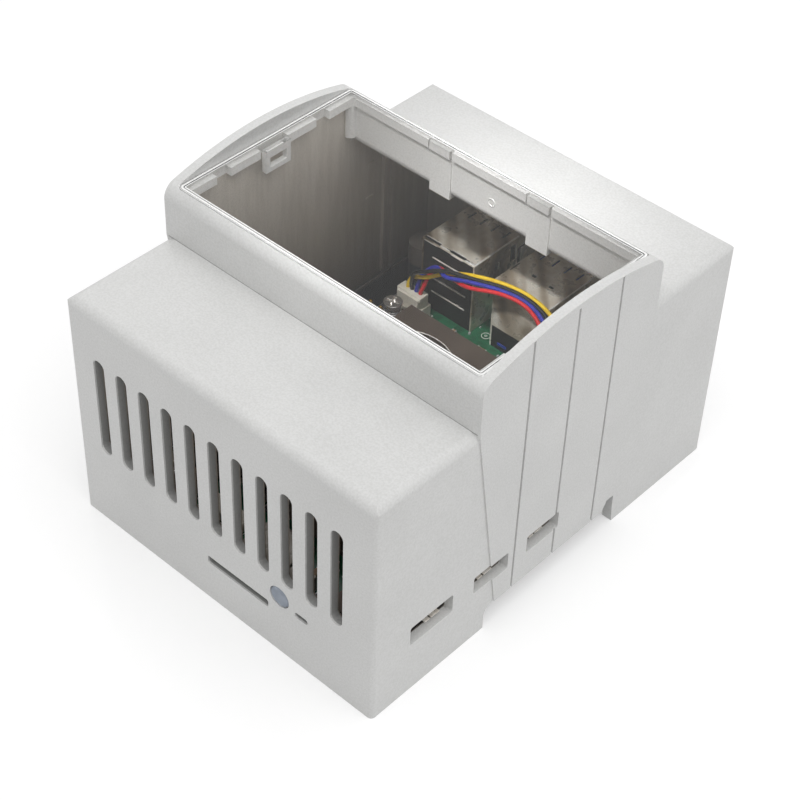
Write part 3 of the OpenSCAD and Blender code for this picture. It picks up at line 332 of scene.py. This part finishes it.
def nickelSheet(name, shades, roughness=0.3, metallic=0.4):
    # tin and nickel plated sheet: warm grey and a little wavy from folding, with light and dark bands of
    # painted reflection coloured across it
    material, tree, shader = newMaterial(name, {"Metallic": metallic})
    place = addNode(tree, "TexCoord", {}).outputs["Object"]
    turned = addNode(tree, "Mapping", {"Vector": place, "Rotation": (0.0, 0.0, radians(-45))})
    along = addNode(tree, "Mapping", {"Vector": turned, "Scale": (1.0, 0.1, 0.4)})
    bends = addNode(tree, "TexNoise", {
        "Vector": along, "Scale": perMm(3.6), "Detail": 1.0, "Roughness": 0.4})
    stains = addNode(tree, "TexNoise", {
        "Vector": place, "Scale": perMm(2.6), "Detail": 4.0, "Roughness": 0.55})
    # painted reflection: the bands stand in for the light and dark that the folds would mirror
    paintedReflectionBands = addNode(tree, "ValToRGB", {"Fac": bends}, stops=list(zip((0.38, 0.5, 0.62), shades)))
    marks = addNode(tree, "ValToRGB", {"Fac": stains}, stops=[(0.35, "#EAE6E0"), (0.6, "#FFFFFF")])
    feed(tree, shader, {
        "Base Color": addNode(tree, "Mix", {"Factor": 1.0, 6: paintedReflectionBands, 7: marks}, multiplied).outputs[2],
        "Roughness": addNode(tree, "MapRange", {
            "Value": stains, "From Min": 0.3, "From Max": 0.7,
            "To Min": roughness + 0.1, "To Max": roughness - 0.08}),
        "Normal": addNode(tree, "Bump", {"Height": bends, "Strength": 0.05, "Distance": 0.6 * mm})})
    return material


def plainMetal(name, hexText, roughness, metallic=1.0):
    # small turned or plated parts with a fine uneven polish
    material, tree, shader = newMaterial(name, {"Metallic": metallic, "Base Color": linear(hexText)})
    place = addNode(tree, "TexCoord", {}).outputs["Object"]
    fine = addNode(tree, "TexNoise", {"Vector": place, "Scale": perMm(0.6), "Detail": 3.0})
    feed(tree, shader, {
        "Roughness": addNode(tree, "MapRange", {
            "Value": fine, "From Min": 0.3, "From Max": 0.7,
            "To Min": roughness - 0.05, "To Max": roughness + 0.1}),
        "Normal": addNode(tree, "Bump", {"Height": fine, "Strength": 0.2, "Distance": 0.008 * mm})})
    return material


def anodisedPlate(name):
    # dark anodised aluminium: brown-grey, satin, with a fine blasted grain
    material, tree, shader = newMaterial(name, {"Metallic": 0.45, "Roughness": 0.5})
    place = addNode(tree, "TexCoord", {}).outputs["Object"]
    patches = addNode(tree, "TexNoise", {"Vector": place, "Scale": perMm(6), "Detail": 4.0})
    # blasted grain is about 0.05 mm in life; drawn at 0.3 mm so that it reads
    fine = addNode(tree, "TexNoise", {"Vector": place, "Scale": perMm(0.3), "Detail": 3.0})
    feed(tree, shader, {
        "Base Color": addNode(tree, "ValToRGB", {"Fac": patches}, stops=[(0.3, "#62584F"), (0.7, "#6E635A")]),
        "Normal": addNode(tree, "Bump", {"Height": fine, "Strength": 0.35, "Distance": 0.02 * mm})})
    return material


def clearAcrylic(name):
    # clear window: sharp and coated against glare, so the board below keeps its blacks
    material, tree, shader = newMaterial(name, {
        "Base Color": linear("#FEFDFB"), "IOR": 1.49, "Transmission Weight": 1.0,
        "Specular Tint": linear("#666666")})
    place = addNode(tree, "TexCoord", {}).outputs["Object"]
    haze = addNode(tree, "TexNoise", {"Vector": place, "Scale": perMm(9), "Detail": 4.0})
    feed(tree, shader, {"Roughness": addNode(tree, "MapRange", {
        "Value": haze, "From Min": 0.35, "From Max": 0.7, "To Min": 0.0, "To Max": 0.015})})
    # light that only passes by goes straight through, a little dimmed
    path = addNode(tree, "LightPath", {})
    straight = addNode(tree, "Math", {
        0: path.outputs["Is Shadow Ray"], 1: path.outputs["Is Diffuse Ray"]}, {"operation": "MAXIMUM"})
    mirrored = addNode(tree, "Math", {
        0: path.outputs["Is Glossy Ray"], 1: path.outputs["Is Transmission Ray"]}, {"operation": "SUBTRACT"})
    straight = addNode(tree, "Math", {0: straight, 1: mirrored}, {"operation": "MAXIMUM"})
    dimmed = addNode(tree, "BsdfTransparent", {"Color": linear("#F0F0F0")})
    mixed = addNode(tree, "MixShader", {0: straight, 1: shader, 2: dimmed})
    feed(tree, tree.nodes["Material Output"], {"Surface": mixed})
    return material


def frostedPlastic(name):
    # frosted translucent button: milky blue-grey with light inside it
    material, tree, shader = newMaterial(name, {
        "Roughness": 0.45, "IOR": 1.5, "Subsurface Weight": 0.5, "Subsurface Radius": (0.9, 1.0, 1.2),
        "Subsurface Scale": 0.001, "Transmission Weight": 0.15})
    place = addNode(tree, "TexCoord", {}).outputs["Object"]
    cloud = addNode(tree, "TexNoise", {"Vector": place, "Scale": perMm(1.4), "Detail": 3.0})
    feed(tree, shader, {
        "Base Color": addNode(tree, "ValToRGB", {"Fac": cloud}, stops=[(0.35, "#8D96A4"), (0.65, "#A0A9B6")]),
        "Normal": addNode(tree, "Bump", {"Height": cloud, "Strength": 0.2, "Distance": 0.03 * mm})})
    return material


def solderMask(name):
    # green solder mask over copper: traces stand a little lighter and higher than the bare laminate
    material, tree, shader = newMaterial(name, {"Roughness": 0.32, "IOR": 1.5, "Coat Weight": 0.3})
    place = addNode(tree, "TexCoord", {}).outputs["Object"]
    tracks = addNode(tree, "TexVoronoi", {
        "Vector": place, "Scale": perMm(2.6), "Randomness": 0.55}, {
        "feature": "DISTANCE_TO_EDGE", "distance": "MANHATTAN"})
    lines = addNode(tree, "MapRange", {
        "Value": tracks, "From Min": 0.02, "From Max": 0.1, "To Min": 1.0, "To Max": 0.0})
    fine = addNode(tree, "TexNoise", {"Vector": place, "Scale": perMm(3), "Detail": 4.0})
    ground = addNode(tree, "ValToRGB", {"Fac": fine}, stops=[(0.3, "#104D33"), (0.7, "#155B3B")])
    faint = addNode(tree, "MapRange", {"Value": lines, "To Max": 0.55})
    bright = addNode(tree, "Mix", {"Factor": faint, 6: ground, 7: linear("#23744F")}, blended)
    feed(tree, shader, {
        "Base Color": bright.outputs[2],
        "Normal": addNode(tree, "Bump", {"Height": lines, "Strength": 0.3, "Distance": 0.03 * mm})})
    return material


def wireInsulation(name, hexText, darkHex):
    # extruded PVC: satin, a shade darker in the scuffs
    material, tree, shader = newMaterial(name, {"Roughness": 0.38, "IOR": 1.53})
    place = addNode(tree, "TexCoord", {}).outputs["Object"]
    scuffs = addNode(tree, "TexNoise", {"Vector": place, "Scale": perMm(1.8), "Detail": 3.0})
    feed(tree, shader, {
        "Base Color": addNode(tree, "ValToRGB", {"Fac": scuffs}, stops=[(0.3, darkHex), (0.6, hexText)]),
        "Normal": addNode(tree, "Bump", {"Height": scuffs, "Strength": 0.1, "Distance": 0.02 * mm})})
    return material


# grain is about 0.1 mm on the real mouldings; drawn at about 0.4 mm, the finest that shows
finishes = {
    "body_plastic": mouldedPlastic(
        "light grey ABS, fine grain", ("#D2D2D1", "#D8D8D7"), 0.38, 0.45, 0.38, paintedShading=paintedInsideShade),
    "tray_plastic": mouldedPlastic(
        "light grey ABS tray", ("#C2C2C1", "#C9C9C8"), 0.5, 0.4, 0.45, paintedShading=trayPaintedShade),
    "clear_plastic": clearAcrylic("clear acrylic"),
    "button_plastic": frostedPlastic("frosted button"),
    "clip_plastic": mouldedPlastic("black nylon clip", ("#1F1F21", "#28282A"), 0.42, 0.35, 0.5, 8),
    "spring_steel": plainMetal("bright spring steel", "#DCDCDD", 0.22, 0.7),
    "screw_steel": plainMetal("nickel plated screw", "#EAE8E4", 0.14, 0.88),
    "circuit_board": solderMask("green solder mask"),
    "chip_black": mouldedPlastic("black epoxy package", ("#17171A", "#202023"), 0.45, 0.25, 0.3, 4),
    "chip_metal": nickelSheet("nickel cap", ("#8C8882", "#A09C95", "#B4B0A8")),
    "socket_nickel": nickelSheet("tinned steel shell", ("#7A6E5F", "#C4B8A5", "#FFFBF0")),
    "insert_black": mouldedPlastic("black connector plastic", ("#0D0D0F", "#141417"), 0.5, 0.2, 0.4, 5),
    "insert_blue": mouldedPlastic("blue connector plastic", ("#15308A", "#1D3F9E"), 0.38, 0.2, 0.4, 5),
    "pin_gold": plainMetal("gold flash", "#D9B25E", 0.2),
    "connector_cream": mouldedPlastic("natural nylon", ("#DDD8CB", "#E6E1D5"), 0.4, 0.15, 0.5, 4),
    "cooler_metal": anodisedPlate("dark anodised aluminium"),
    "fan_black": mouldedPlastic("black fan plastic", ("#121214", "#1A1A1C"), 0.35, 0.15, 0.4, 5),
    "wire_yellow": wireInsulation("yellow insulation", "#F7D21C", "#E6BC12"),
    "wire_black": wireInsulation("black insulation", "#151516", "#0E0E0F"),
    "wire_blue": wireInsulation("blue insulation", "#2F36B4", "#262C98"),
    "wire_red": wireInsulation("red insulation", "#DE1F2A", "#C3171F"),
}
silkInk = mouldedPlastic("white silk ink", ("#D8DAD4", "#E6E8E2"), 0.5, 0.2, 0.5, 3)
solder = plainMetal("solder", "#D5D7D8", 0.24, 0.5)
bareEdge = plainMetal("bare aluminium edge", "#F2EFEA", 0.25, 0.3)
resistorBlack = mouldedPlastic("black film", ("#1A1A1C", "#232326"), 0.4, 0.1, 0.3, 2)
ceramicTan = mouldedPlastic("tan ceramic", ("#8F7355", "#9C8061"), 0.45, 0.15, 0.3, 2)
blueCap = mouldedPlastic("blue moulded coil", ("#1E3A86", "#294896"), 0.4, 0.1, 0.3, 3)
# the frosted rim, also used for the painted highlight line round the window
frostedEdgeAndHighlight = mouldedPlastic("frosted acrylic edge and painted highlight", ("#F1F1F0", "#F6F6F5"), 0.35, 0.1, 0.5, 6)
shadeLine = mouldedPlastic("shaded step in acrylic", ("#242425", "#2C2C2D"), 0.3, 0.1, 0.5, 6)
creaseGrey = mouldedPlastic("shaded crease", ("#8C8C8B", "#979796"), 0.5, 0.2, 0.45)
# painted highlight: a near-white sheet for strips that stand in for bright edges and folds
paintedHighlight = nickelSheet("painted highlight sheet", ("#EDE9E2", "#F6F3EE", "#FFFFFF"), 0.25, 0.2)

print("softened CAD nodes")
edgeWidths = {
    "upper_shell": 0.12, "base_shell": 0.15, "power_button": 0.3, "rail_clip": 0.25,
    "shell_screws": 0.12, "computer_board": 0.08, "processor": 0.12, "memory_chip": 0.1, "io_chip": 0.1,
    "power_chip": 0.1, "radio_module": 0.2, "usb_shell_left": 0.12, "usb_insert_left": 0.1,
    "usb_shell_right": 0.12, "usb_insert_right": 0.1, "network_jack": 0.12, "network_insert": 0.12,
    "usb_c_shell": 0.08, "usb_c_tongue": 0.1, "hdmi_shell_front": 0.08, "hdmi_shell_rear": 0.08,
    "hdmi_tongues": 0.1, "header_block": 0.12, "header_pins": 0.17, "camera_socket": 0.12,
    "expansion_socket": 0.12, "card_socket": 0.08, "push_switch": 0.1, "switch_plunger": 0.15,
    "status_light": 0.08, "fan_socket": 0.12, "fan_plug": 0.15, "heatsink": 0.1, "fan_stator": 0.08,
    "fan_rotor": 0.08, "cooler_screws": 0.1,
}
# these port shells are drawn in the painted highlight material
paintedHighlightNodes = ("usb_c_shell", "hdmi_shell_front", "hdmi_shell_rear")
for nodeName, width in edgeWidths.items():
    softened(nodeName, width)

print("window lid")
lidEdge = {"gap": 0.07, "band": 0.42, "groove": 0.17, "line": 0.22}  # mm, from the rim inwards
bm = mergedCopy("window_lid")
bevelEdges(bm, sharpEdges(bm), 0.08)
lidLow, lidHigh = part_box("window_lid")
top = max((f for f in bm.faces if f.normal.z > 0.99), key=lambda f: f.calc_area())
for face in bm.faces:
    spot = face.calc_center_median()
    nearRim = min(lidHigh.x - abs(spot.x), lidHigh.y - abs(spot.y)) < 0.4 * mm
    if face is not top and (nearRim or spot.z < lidHigh.z - 1.6 * mm):
        face.material_index = 1
# painted shade on the gap and groove rings, a painted highlight on the raised line; the band is the frosted rim
for width, index, drop in ((lidEdge["gap"], 2, 0.0), (lidEdge["band"], 1, 0.0), (lidEdge["groove"], 2, -0.04),
                           (lidEdge["line"], 1, 0.04)):
    ring = bmesh.ops.inset_region(bm, faces=[top], thickness=width * mm, depth=drop * mm,
                                  use_even_offset=True, use_boundary=True)["faces"]
    for face in ring:
        face.material_index = index
finishPiece(bm, "window_lid_finish", "lid",
            [finishes["clear_plastic"], frostedEdgeAndHighlight, shadeLine], ["window_lid"])

print("fan lead")
lead = {
    "wire": 0.4,  # radius in mm
    "pitch": 0.9,
    "lanes": {"wire_yellow": 1.5, "wire_black": 0.5, "wire_blue": -0.5, "wire_red": -1.5},
    "route": [
        (-20, 24.4, 18), (-20, 24.5, 19.6), (-19.2, 24.4, 21.8), (-15.9, 24, 24.3), (-11, 24.3, 26.3),
        (-6, 25, 27.7), (0.5, 26.2, 28.7), (6, 26.6, 28.8), (11, 25.5, 28), (14.8, 22.9, 26),
        (16.7, 22.6, 21.8), (17, 22.4, 18.2), (17, 21.4, 15.6), (17, 19.6, 15), (17, 17, 15)],
    "side": [
        (-1, 0, 0), (-1, 0.1, 0.1), (-0.85, 0.1, 0.5), (-0.5, 0.5, 0.75), (-0.25, 0.8, 0.5),
        (-0.1, 0.95, 0.2), (0, 1, 0.1), (0.1, 0.95, 0), (0.4, 1, 0), (1, 0.45, 0),
        (1, 0.45, 0), (1, 0.1, 0), (1, 0, 0), (1, 0, 0), (1, 0, 0)],
    "starts": {  # the wires leave the plug side by side and cross over before they lie flat together
        "wire_yellow": [
            (-21.2, 24.3, 18), (-21, 24.4, 19.4), (-20, 24.5, 20.9), (-16.4, 24.1, 23.1), (-12, 25.5, 25.7)],
        "wire_black": [
            (-20.15, 24.3, 18), (-19.9, 23.8, 20.1), (-18.8, 23.3, 23.1), (-15.3, 23.3, 25.6),
            (-11.7, 24.5, 27)],
        "wire_blue": [
            (-19.1, 24.3, 18), (-18.9, 24.7, 19.9), (-18.6, 25.6, 21.9), (-15.6, 25.7, 25.1), (-11.5, 24, 26)],
        "wire_red": [
            (-18.05, 24.3, 18), (-17.4, 24.6, 20.3), (-17.4, 26.2, 22.2), (-15.6, 26.7, 24.3),
            (-12.4, 26, 24.5), (-6.2, 23.8, 26.8)]},
    "steps": 140,
}


def curveAt(points, t):
    # the same smooth curve that the source sweeps its tubes along
    last = len(points) - 1
    i = min(int(t * last), last - 1)
    s = t * last - i
    a, b, c, d = (points[max(i - 1, 0)], points[i], points[i + 1], points[min(i + 2, last)])
    return 0.5 * (2 * b + (c - a) * s + (2 * a - 5 * b + 4 * c - d) * s * s
                  + (3 * b - a - 3 * c + d) * s * s * s)


for nodeName, lane in lead["lanes"].items():
    points = [Vector(p) + lane * lead["pitch"] * Vector(s) for p, s in zip(lead["route"], lead["side"])]
    start = lead["starts"][nodeName]
    points = [Vector(p) for p in start] + points[len(start):]
    line = [curveAt(points, i / lead["steps"]) for i in range(lead["steps"] + 1)]
    bm = sweptTubes([line], lead["wire"], 5)
    finishPiece(bm, nodeName + "_tube", "case", finishes[nodeName], [nodeName])

print("springs")
screwPlaces = [(28.7, -38.9), (-20.3, -38.9), (28.7, 19.1), (-20.3, 19.1)]
spring = {"radius": 1.52, "wire": 0.24, "turns": 3.4, "steps": 28}  # radii in mm, steps in a turn
low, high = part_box("cooler_springs")
low, high = low.z / mm + spring["wire"], high.z / mm - spring["wire"]
count = int(spring["turns"] * spring["steps"])
coils = []
for x, y in screwPlaces:
    line = []
    for i in range(count + 1):
        a = 2 * pi * spring["turns"] * i / count
        line.append(Vector((x + spring["radius"] * cos(a), y + spring["radius"] * sin(a),
                            low + (high - low) * i / count)))
    coils.append(line)
bm = sweptTubes(coils, spring["wire"], 4)
finishPiece(bm, "cooler_spring_coils", "case", finishes["spring_steel"], ["cooler_springs"])

nodes["rail_clip_spring"].data.materials.clear()
nodes["rail_clip_spring"].data.materials.append(finishes["spring_steel"])

print("socket details")
usb = {"left": -14.8, "right": 3.1, "half": 6.55, "back": 28.05, "top": 27.9, "mouth": 45.15}  # mm
usbTop = usb["top"]
# painted shade: the slots in the block's top are black strips
boxPiece("usb_left_slots_painted_shade", "case", finishes["insert_black"], [
    ((3.9, 0.62, 0.1), (usb["left"] - 4.3, usb["back"] + 0.5, usbTop)),
    ((3.6, 0.62, 0.1), (usb["left"] + 2.1, usb["back"] + 0.5, usbTop))], 0.04)
# painted highlight: bright tab edges, the fold along the top edge and lines across the back
boxPiece("usb_left_tabs_and_highlights", "case", paintedHighlight, [
    ((3.7, 0.16, 0.16), (usb["left"] - 4.3, usb["back"] + 0.9, usbTop)),
    ((3.4, 0.16, 0.16), (usb["left"] + 2.1, usb["back"] + 0.9, usbTop)),
    ((2.2, 0.34, 0.2), (usb["left"] - 1.1, usb["back"] + 0.3, usbTop)),
    ((2.1, 0.36, 0.2), (usb["left"] + 5.2, usb["back"] + 0.3, usbTop)),
    ((3.2, 0.16, 0.16), (usb["left"] - 4.4, usb["back"] + 0.02, usbTop - 0.35)),
    ((3, 0.16, 0.16), (usb["left"] + 2.1, usb["back"] + 0.02, usbTop - 0.35)),
    ((0.4, 12.4, 0.14), (usb["left"] + 6.33, usb["back"] + 6.85, usbTop)),
    ((8.6, 0.26, 0.26), (usb["left"] + 0.5, usb["back"], 24.5)),
    ((8.6, 0.24, 0.24), (usb["left"] + 0.5, usb["back"], 19.6)),
    ((8.4, 0.24, 0.24), (usb["left"] + 0.5, usb["back"], 16.35))], 0.05)
boxPiece("usb_right_back", "case", finishes["socket_nickel"], [
    ((12.3, 0.14, 10.4), (usb["right"], usb["back"] + 0.05, 22.2))], 0.05)
boxPiece("usb_right_foot", "case", finishes["insert_black"], [
    ((12.3, 0.1, 5), (usb["right"], usb["back"] + 0.02, 14.5))], 0.04)
boxPiece("usb_right_key", "case", finishes["insert_blue"], [
    ((2.2, 0.3, 0.6), (usb["right"] - 3.4, usb["back"] - 0.05, 13.4))], 0.08)
# painted shade and painted highlight: black strips for openings and the shade beside the spring fingers,
# near-white strips for their lit edges and folds; the contact strips are real parts in the same bright material
paintedShadeMarks = [
    ((0.95, 0.55, 0.08), (1.34, 33.9, usbTop)), ((0.95, 0.55, 0.08), (5.66, 33.6, usbTop)),
    ((0.28, 2.8, 0.08), (-3.1, 33.6, usbTop))]
fingersAndHighlights = [
    ((0.95, 0.14, 0.12), (1.34, 34.25, usbTop)), ((0.95, 0.14, 0.12), (5.66, 33.95, usbTop)),
    ((0.3, 15.6, 0.12), (usb["right"] + 6.38, 36.2, usbTop))]
for middle in (usb["left"], usb["right"]):
    side = middle + usb["half"]
    paintedShadeMarks += [
        ((0.08, 3.2, 4.4), (side, 42.5, 23.1)), ((0.08, 1.4, 3.6), (side, 39.4, 25)),
        ((0.08, 0.9, 1.5), (side, 34.6, 24.3))]
    fingersAndHighlights += [
        ((0.3, 2.4, 3.4), (side + 0.12, 42.8, 23.3)), ((0.26, 0.36, 3.2), (side + 0.08, 40.2, 25.2)),
        ((0.2, 0.26, 1.5), (side + 0.05, 35.2, 24.3))]
    # contact strips on the tongues and fingers in the mouths
    for level in (15.9, 23.6):
        fingersAndHighlights += [((0.9, 6, 0.12), (middle - 3.75 + 2.5 * i, 39, level + 0.02)) for i in range(4)]
boxPiece("usb_openings_painted_shade", "case", finishes["insert_black"], paintedShadeMarks, 0.03)
boxPiece("usb_fingers_and_highlights", "case", paintedHighlight, fingersAndHighlights, 0.05)
boxPiece("network_lights", "case", finishes["connector_cream"], [
    ((2, 0.3, 1.4), (x, 44.85, 24.1)) for x in (15.7, 28.3)], 0.1)
boxPiece("network_contacts", "case", finishes["pin_gold"], [
    ((0.4, 6.4, 0.2), (18.4 + 1.02 * i, 39.4, 23.3)) for i in range(8)], 0.04)
boxPiece("camera_latch", "case", finishes["connector_cream"], [
    ((0.9, 13.6, 1), (26.9, 8.6, 16.7))], 0.12)

print("board details")
board = {  # mm
    "top": 11.9,
    "low": (-23, -41.6), "high": (31.4, 41.8),  # the small parts lie between these corners
    "first": (-22.8, -41.4), "span": (54, 83),
    "clear": 0.5,  # left free round each larger part
    "spacing": 0.3,
    "screwPad": 3.6,
    "lands": 0.26,  # length of a solder end
    "tries": 1500,
    "seed": 7,
}
boardTop = board["top"]
keepOut = [(-7, 28, -4, 31)]
for nodeName in (
        "processor", "memory_chip", "io_chip", "power_chip", "radio_module", "usb_shell_left",
        "usb_shell_right", "network_jack", "usb_c_shell", "hdmi_shell_front", "hdmi_shell_rear",
        "header_block", "camera_socket", "expansion_socket", "push_switch", "status_light", "fan_socket"):
    low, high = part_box(nodeName)
    gap = board["clear"]
    keepOut.append((low.x / mm - gap, low.y / mm - gap, high.x / mm + gap, high.y / mm + gap))
for x, y in screwPlaces:
    gap = board["screwPad"]
    keepOut.append((x - gap, y - gap, x + gap, y + gap))
kinds = [  # piece, slot, finish, and length, width and height in mm
    ("resistor_bodies", "chip_black", resistorBlack, (1, 0.5, 0.35)),
    ("capacitor_bodies", "chip_black", ceramicTan, (1, 0.5, 0.5)),
    ("tank_capacitors", "chip_black", ceramicTan, (2, 1.25, 0.85)),
    ("coil_bodies", "chip_black", blueCap, (1.8, 1.8, 0.9)),
    ("small_chips", "chip_black", finishes["chip_black"], (2.4, 2.4, 0.8)),
]
shares = [0] * 9 + [1] * 6 + [2] * 2 + [3] + [4] * 2  # how often each kind comes up


def chances(seed):
    # a plain repeating sequence stands in for chance, so that every run places the same parts
    while True:
        seed = (seed * 1103515245 + 12345) % 2147483648
        yield (seed >> 8) % 1000 / 1000


parts = {kind[0]: [] for kind in kinds}
ends = []
chance = chances(board["seed"])
for attempt in range(board["tries"]):
    x, y = (round((first + span * next(chance)) * 2) / 2 for first, span in zip(board["first"], board["span"]))
    name, slotName, material, (length, width, height) = kinds[shares[attempt * 7 % len(shares)]]
    if attempt % 2:
        length, width = width, length
    gap = board["spacing"]
    box = (x - length / 2 - gap, y - width / 2 - gap, x + length / 2 + gap, y + width / 2 + gap)
    if box[0] < board["low"][0] or box[2] > board["high"][0]:
        continue
    if box[1] < board["low"][1] or box[3] > board["high"][1]:
        continue
    if any(box[0] < k[2] and box[2] > k[0] and box[1] < k[3] and box[3] > k[1] for k in keepOut):
        continue
    keepOut.append(box)
    parts[name].append(((length, width, height), (x, y, boardTop + height / 2)))
    if height < 0.88:
        for way in (-1, 1):
            step = way * (max(length, width) / 2 - 0.1)
            if length >= width:
                size, spot = (board["lands"], width + 0.06, height + 0.06), (x + step, y)
            else:
                size, spot = (length + 0.06, board["lands"], height + 0.06), (x, y + step)
            ends.append((size, (*spot, boardTop + size[2] / 2)))
for name, slotName, material, size in kinds:
    boxPiece(name, "case", material, parts[name], 0.05, 1)
boxPiece("solder_ends", "case", solder, ends, 0.04, 1)
ink = {"line": 0.15, "thick": 0.06, "level": boardTop + 0.01, "margin": 0.6, "dot": (-5.46, 29.46)}  # mm
bm = bmesh.new()
addRing(bm, 0.85, ink["thick"], (*ink["dot"], ink["level"]))
addRing(bm, 0.22, ink["thick"], (*ink["dot"], ink["level"]), sides=16)
for x, y in screwPlaces:
    addRing(bm, 3.1, ink["thick"], (x, y, ink["level"]))
for nodeName in ("header_block", "fan_socket", "memory_chip", "processor", "io_chip", "expansion_socket"):
    low, high = (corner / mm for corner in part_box(nodeName))
    width, depth = high.x - low.x + ink["margin"], high.y - low.y + ink["margin"]
    x, y = (low.x + high.x) / 2, (low.y + high.y) / 2
    for side in (-1, 1):
        addBox(bm, (width, ink["line"], ink["thick"]), (x, y + side * depth / 2, ink["level"]))
        addBox(bm, (ink["line"], depth, ink["thick"]), (x + side * width / 2, y, ink["level"]))
finishPiece(bm, "silk_marks", "case", silkInk)
boxPiece("solder_dots", "case", solder, [
    ((0.5, 0.5, 0.5), (-8, 27.6, 12.1)), ((0.4, 0.4, 0.4), (-7.8, 30.6, 12)),
    ((0.4, 0.4, 0.4), (-5.9, 31.5, 12))], 0.12)

print("cooler details")
fan = {"place": (-7.2, 7.7), "opening": 9.48, "rim": 17.47, "label": 3.9, "labelTop": 17.4}  # mm
bm = bmesh.new()
addRing(bm, fan["opening"], 0.1, (*fan["place"], fan["rim"]), sides=120)
finishPiece(bm, "fan_opening_edge", "case", bareEdge)
bm = bmesh.new()
addDrum(bm, fan["label"], 0.12, (*fan["place"], fan["labelTop"] - 0.06), 0.05, 64)
finishPiece(bm, "fan_hub_label", "fan", finishes["chip_black"])
bm = bmesh.new()
addRing(bm, 3.0, 0.05, (*fan["place"], fan["labelTop"] + 0.01), sides=64)
finishPiece(bm, "fan_hub_ring", "fan", finishes["screw_steel"])

print("port lips")
lip = {"x": 33.7, "z": 12.05, "depth": 1.1, "thick": 0.26, "ports": (-29.6, -16.4, -3)}  # mm
# painted highlight: bright strips along the lower lips of the ports
boxPiece("port_lips", "case", paintedHighlight, [
    ((lip["depth"], length, lip["thick"]), (lip["x"], port + shift, lip["z"]))
    for port in lip["ports"] for length, shift in ((1.2, -1.2), (2, 0.75))], 0.06)

print("case details")
bm = bmesh.new()
addRing(bm, 0.75, 0.12, (0.54, 20.5, 51.66), Matrix.Rotation(pi / 2, 3, "X"))
addBox(bm, (0.5, 60, 0.5), (-33.35, 10, 10.6), 0.15)
for level in (39.8, 31.8):
    addBox(bm, (0.3, 1.9, 0.4), (-33.45, 26.1, level), 0.1)
finishPiece(bm, "moulding_marks", "case", finishes["body_plastic"])
crease = {"length": 70.4, "thick": 0.16, "y": 22.5, "z": 49.28}  # mm, the painted shade line at the foot of the middle
boxPiece("shoulder_creases", "case", creaseGrey, [
    ((crease["length"], crease["thick"], crease["thick"]), (0, side * crease["y"], crease["z"]))
    for side in (-1, 1)], 0.05, 1)

print("studio")
studio = {
    "floor": 3.0,
    "world": 0.66,
    "lift": 0.34,
    "softbox": {"place": (0.25, -0.1, 0.75), "size": (0.7, 0.7), "power": 2.9},
    "strip": {"place": (-0.56, 0.3, 0.64), "size": (0.1, 0.5), "power": 0.3},
    "snoot": {"place": (0.0, -0.24, 0.5), "aim": (0.0, 0.026, 0.027), "angle": 5.6, "power": 12.5},
}


def seenDirectly(tree, low, high):
    # the high value for rays that show the floor and backdrop: to the camera, mirrored or through glass
    path = addNode(tree, "LightPath", {})
    seen = path.outputs["Is Camera Ray"]
    for way in ("Is Glossy Ray", "Is Transmission Ray"):
        seen = addNode(tree, "Math", {0: seen, 1: path.outputs[way]}, {"operation": "MAXIMUM"})
    return addNode(tree, "MapRange", {"Value": seen, "To Min": low, "To Max": high})


bm = bmesh.new()
bmesh.ops.create_grid(bm, x_segments=1, y_segments=1, size=studio["floor"])
bmesh.ops.translate(bm, vec=(0, 0, cadBox[0].z), verts=bm.verts)
floorMesh = bpy.data.meshes.new("floor")
bm.to_mesh(floorMesh)
bm.free()
floor = bpy.data.objects.new("floor", floorMesh)
bpy.context.scene.collection.objects.link(floor)
floorPaper, tree, shader = newMaterial("white paper", {"Roughness": 0.9, "Base Color": linear("#D9D9D9")})
lift = addNode(tree, "Emission", {
    "Color": linear("#FFFFFF"), "Strength": seenDirectly(tree, 0.0, studio["lift"])})
feed(tree, tree.nodes["Material Output"], {"Surface": addNode(tree, "AddShader", {0: shader, 1: lift})})
floorMesh.materials.append(floorPaper)

world = bpy.data.worlds.new("studio")
bpy.context.scene.world = world
world.use_nodes = True
feed(world.node_tree, world.node_tree.nodes["Background"], {
    "Strength": seenDirectly(world.node_tree, studio["world"], 1.0), "Color": linear("#FFFFFF")})


def placeLamp(name, data, place, aim):
    lamp = bpy.data.objects.new(name, data)
    bpy.context.scene.collection.objects.link(lamp)
    lamp.location = place
    lamp.rotation_euler = (Vector(aim) - lamp.location).to_track_quat("-Z", "Y").to_euler()


for name in ("softbox", "strip"):
    made = studio[name]
    lampData = bpy.data.lights.new(name, "AREA")
    lampData.shape = "RECTANGLE"
    lampData.size, lampData.size_y = made["size"]
    lampData.energy = made["power"]
    placeLamp(name, lampData, made["place"], (0, 0, 0.03))

# a narrow spot shines through the window onto the wires and sockets
made = studio["snoot"]
lampData = bpy.data.lights.new("snoot", "SPOT")
lampData.energy = made["power"]
lampData.spot_size = radians(made["angle"])
lampData.spot_blend = 0.7
lampData.shadow_soft_size = 0.02
placeLamp("snoot", lampData, made["place"], made["aim"])
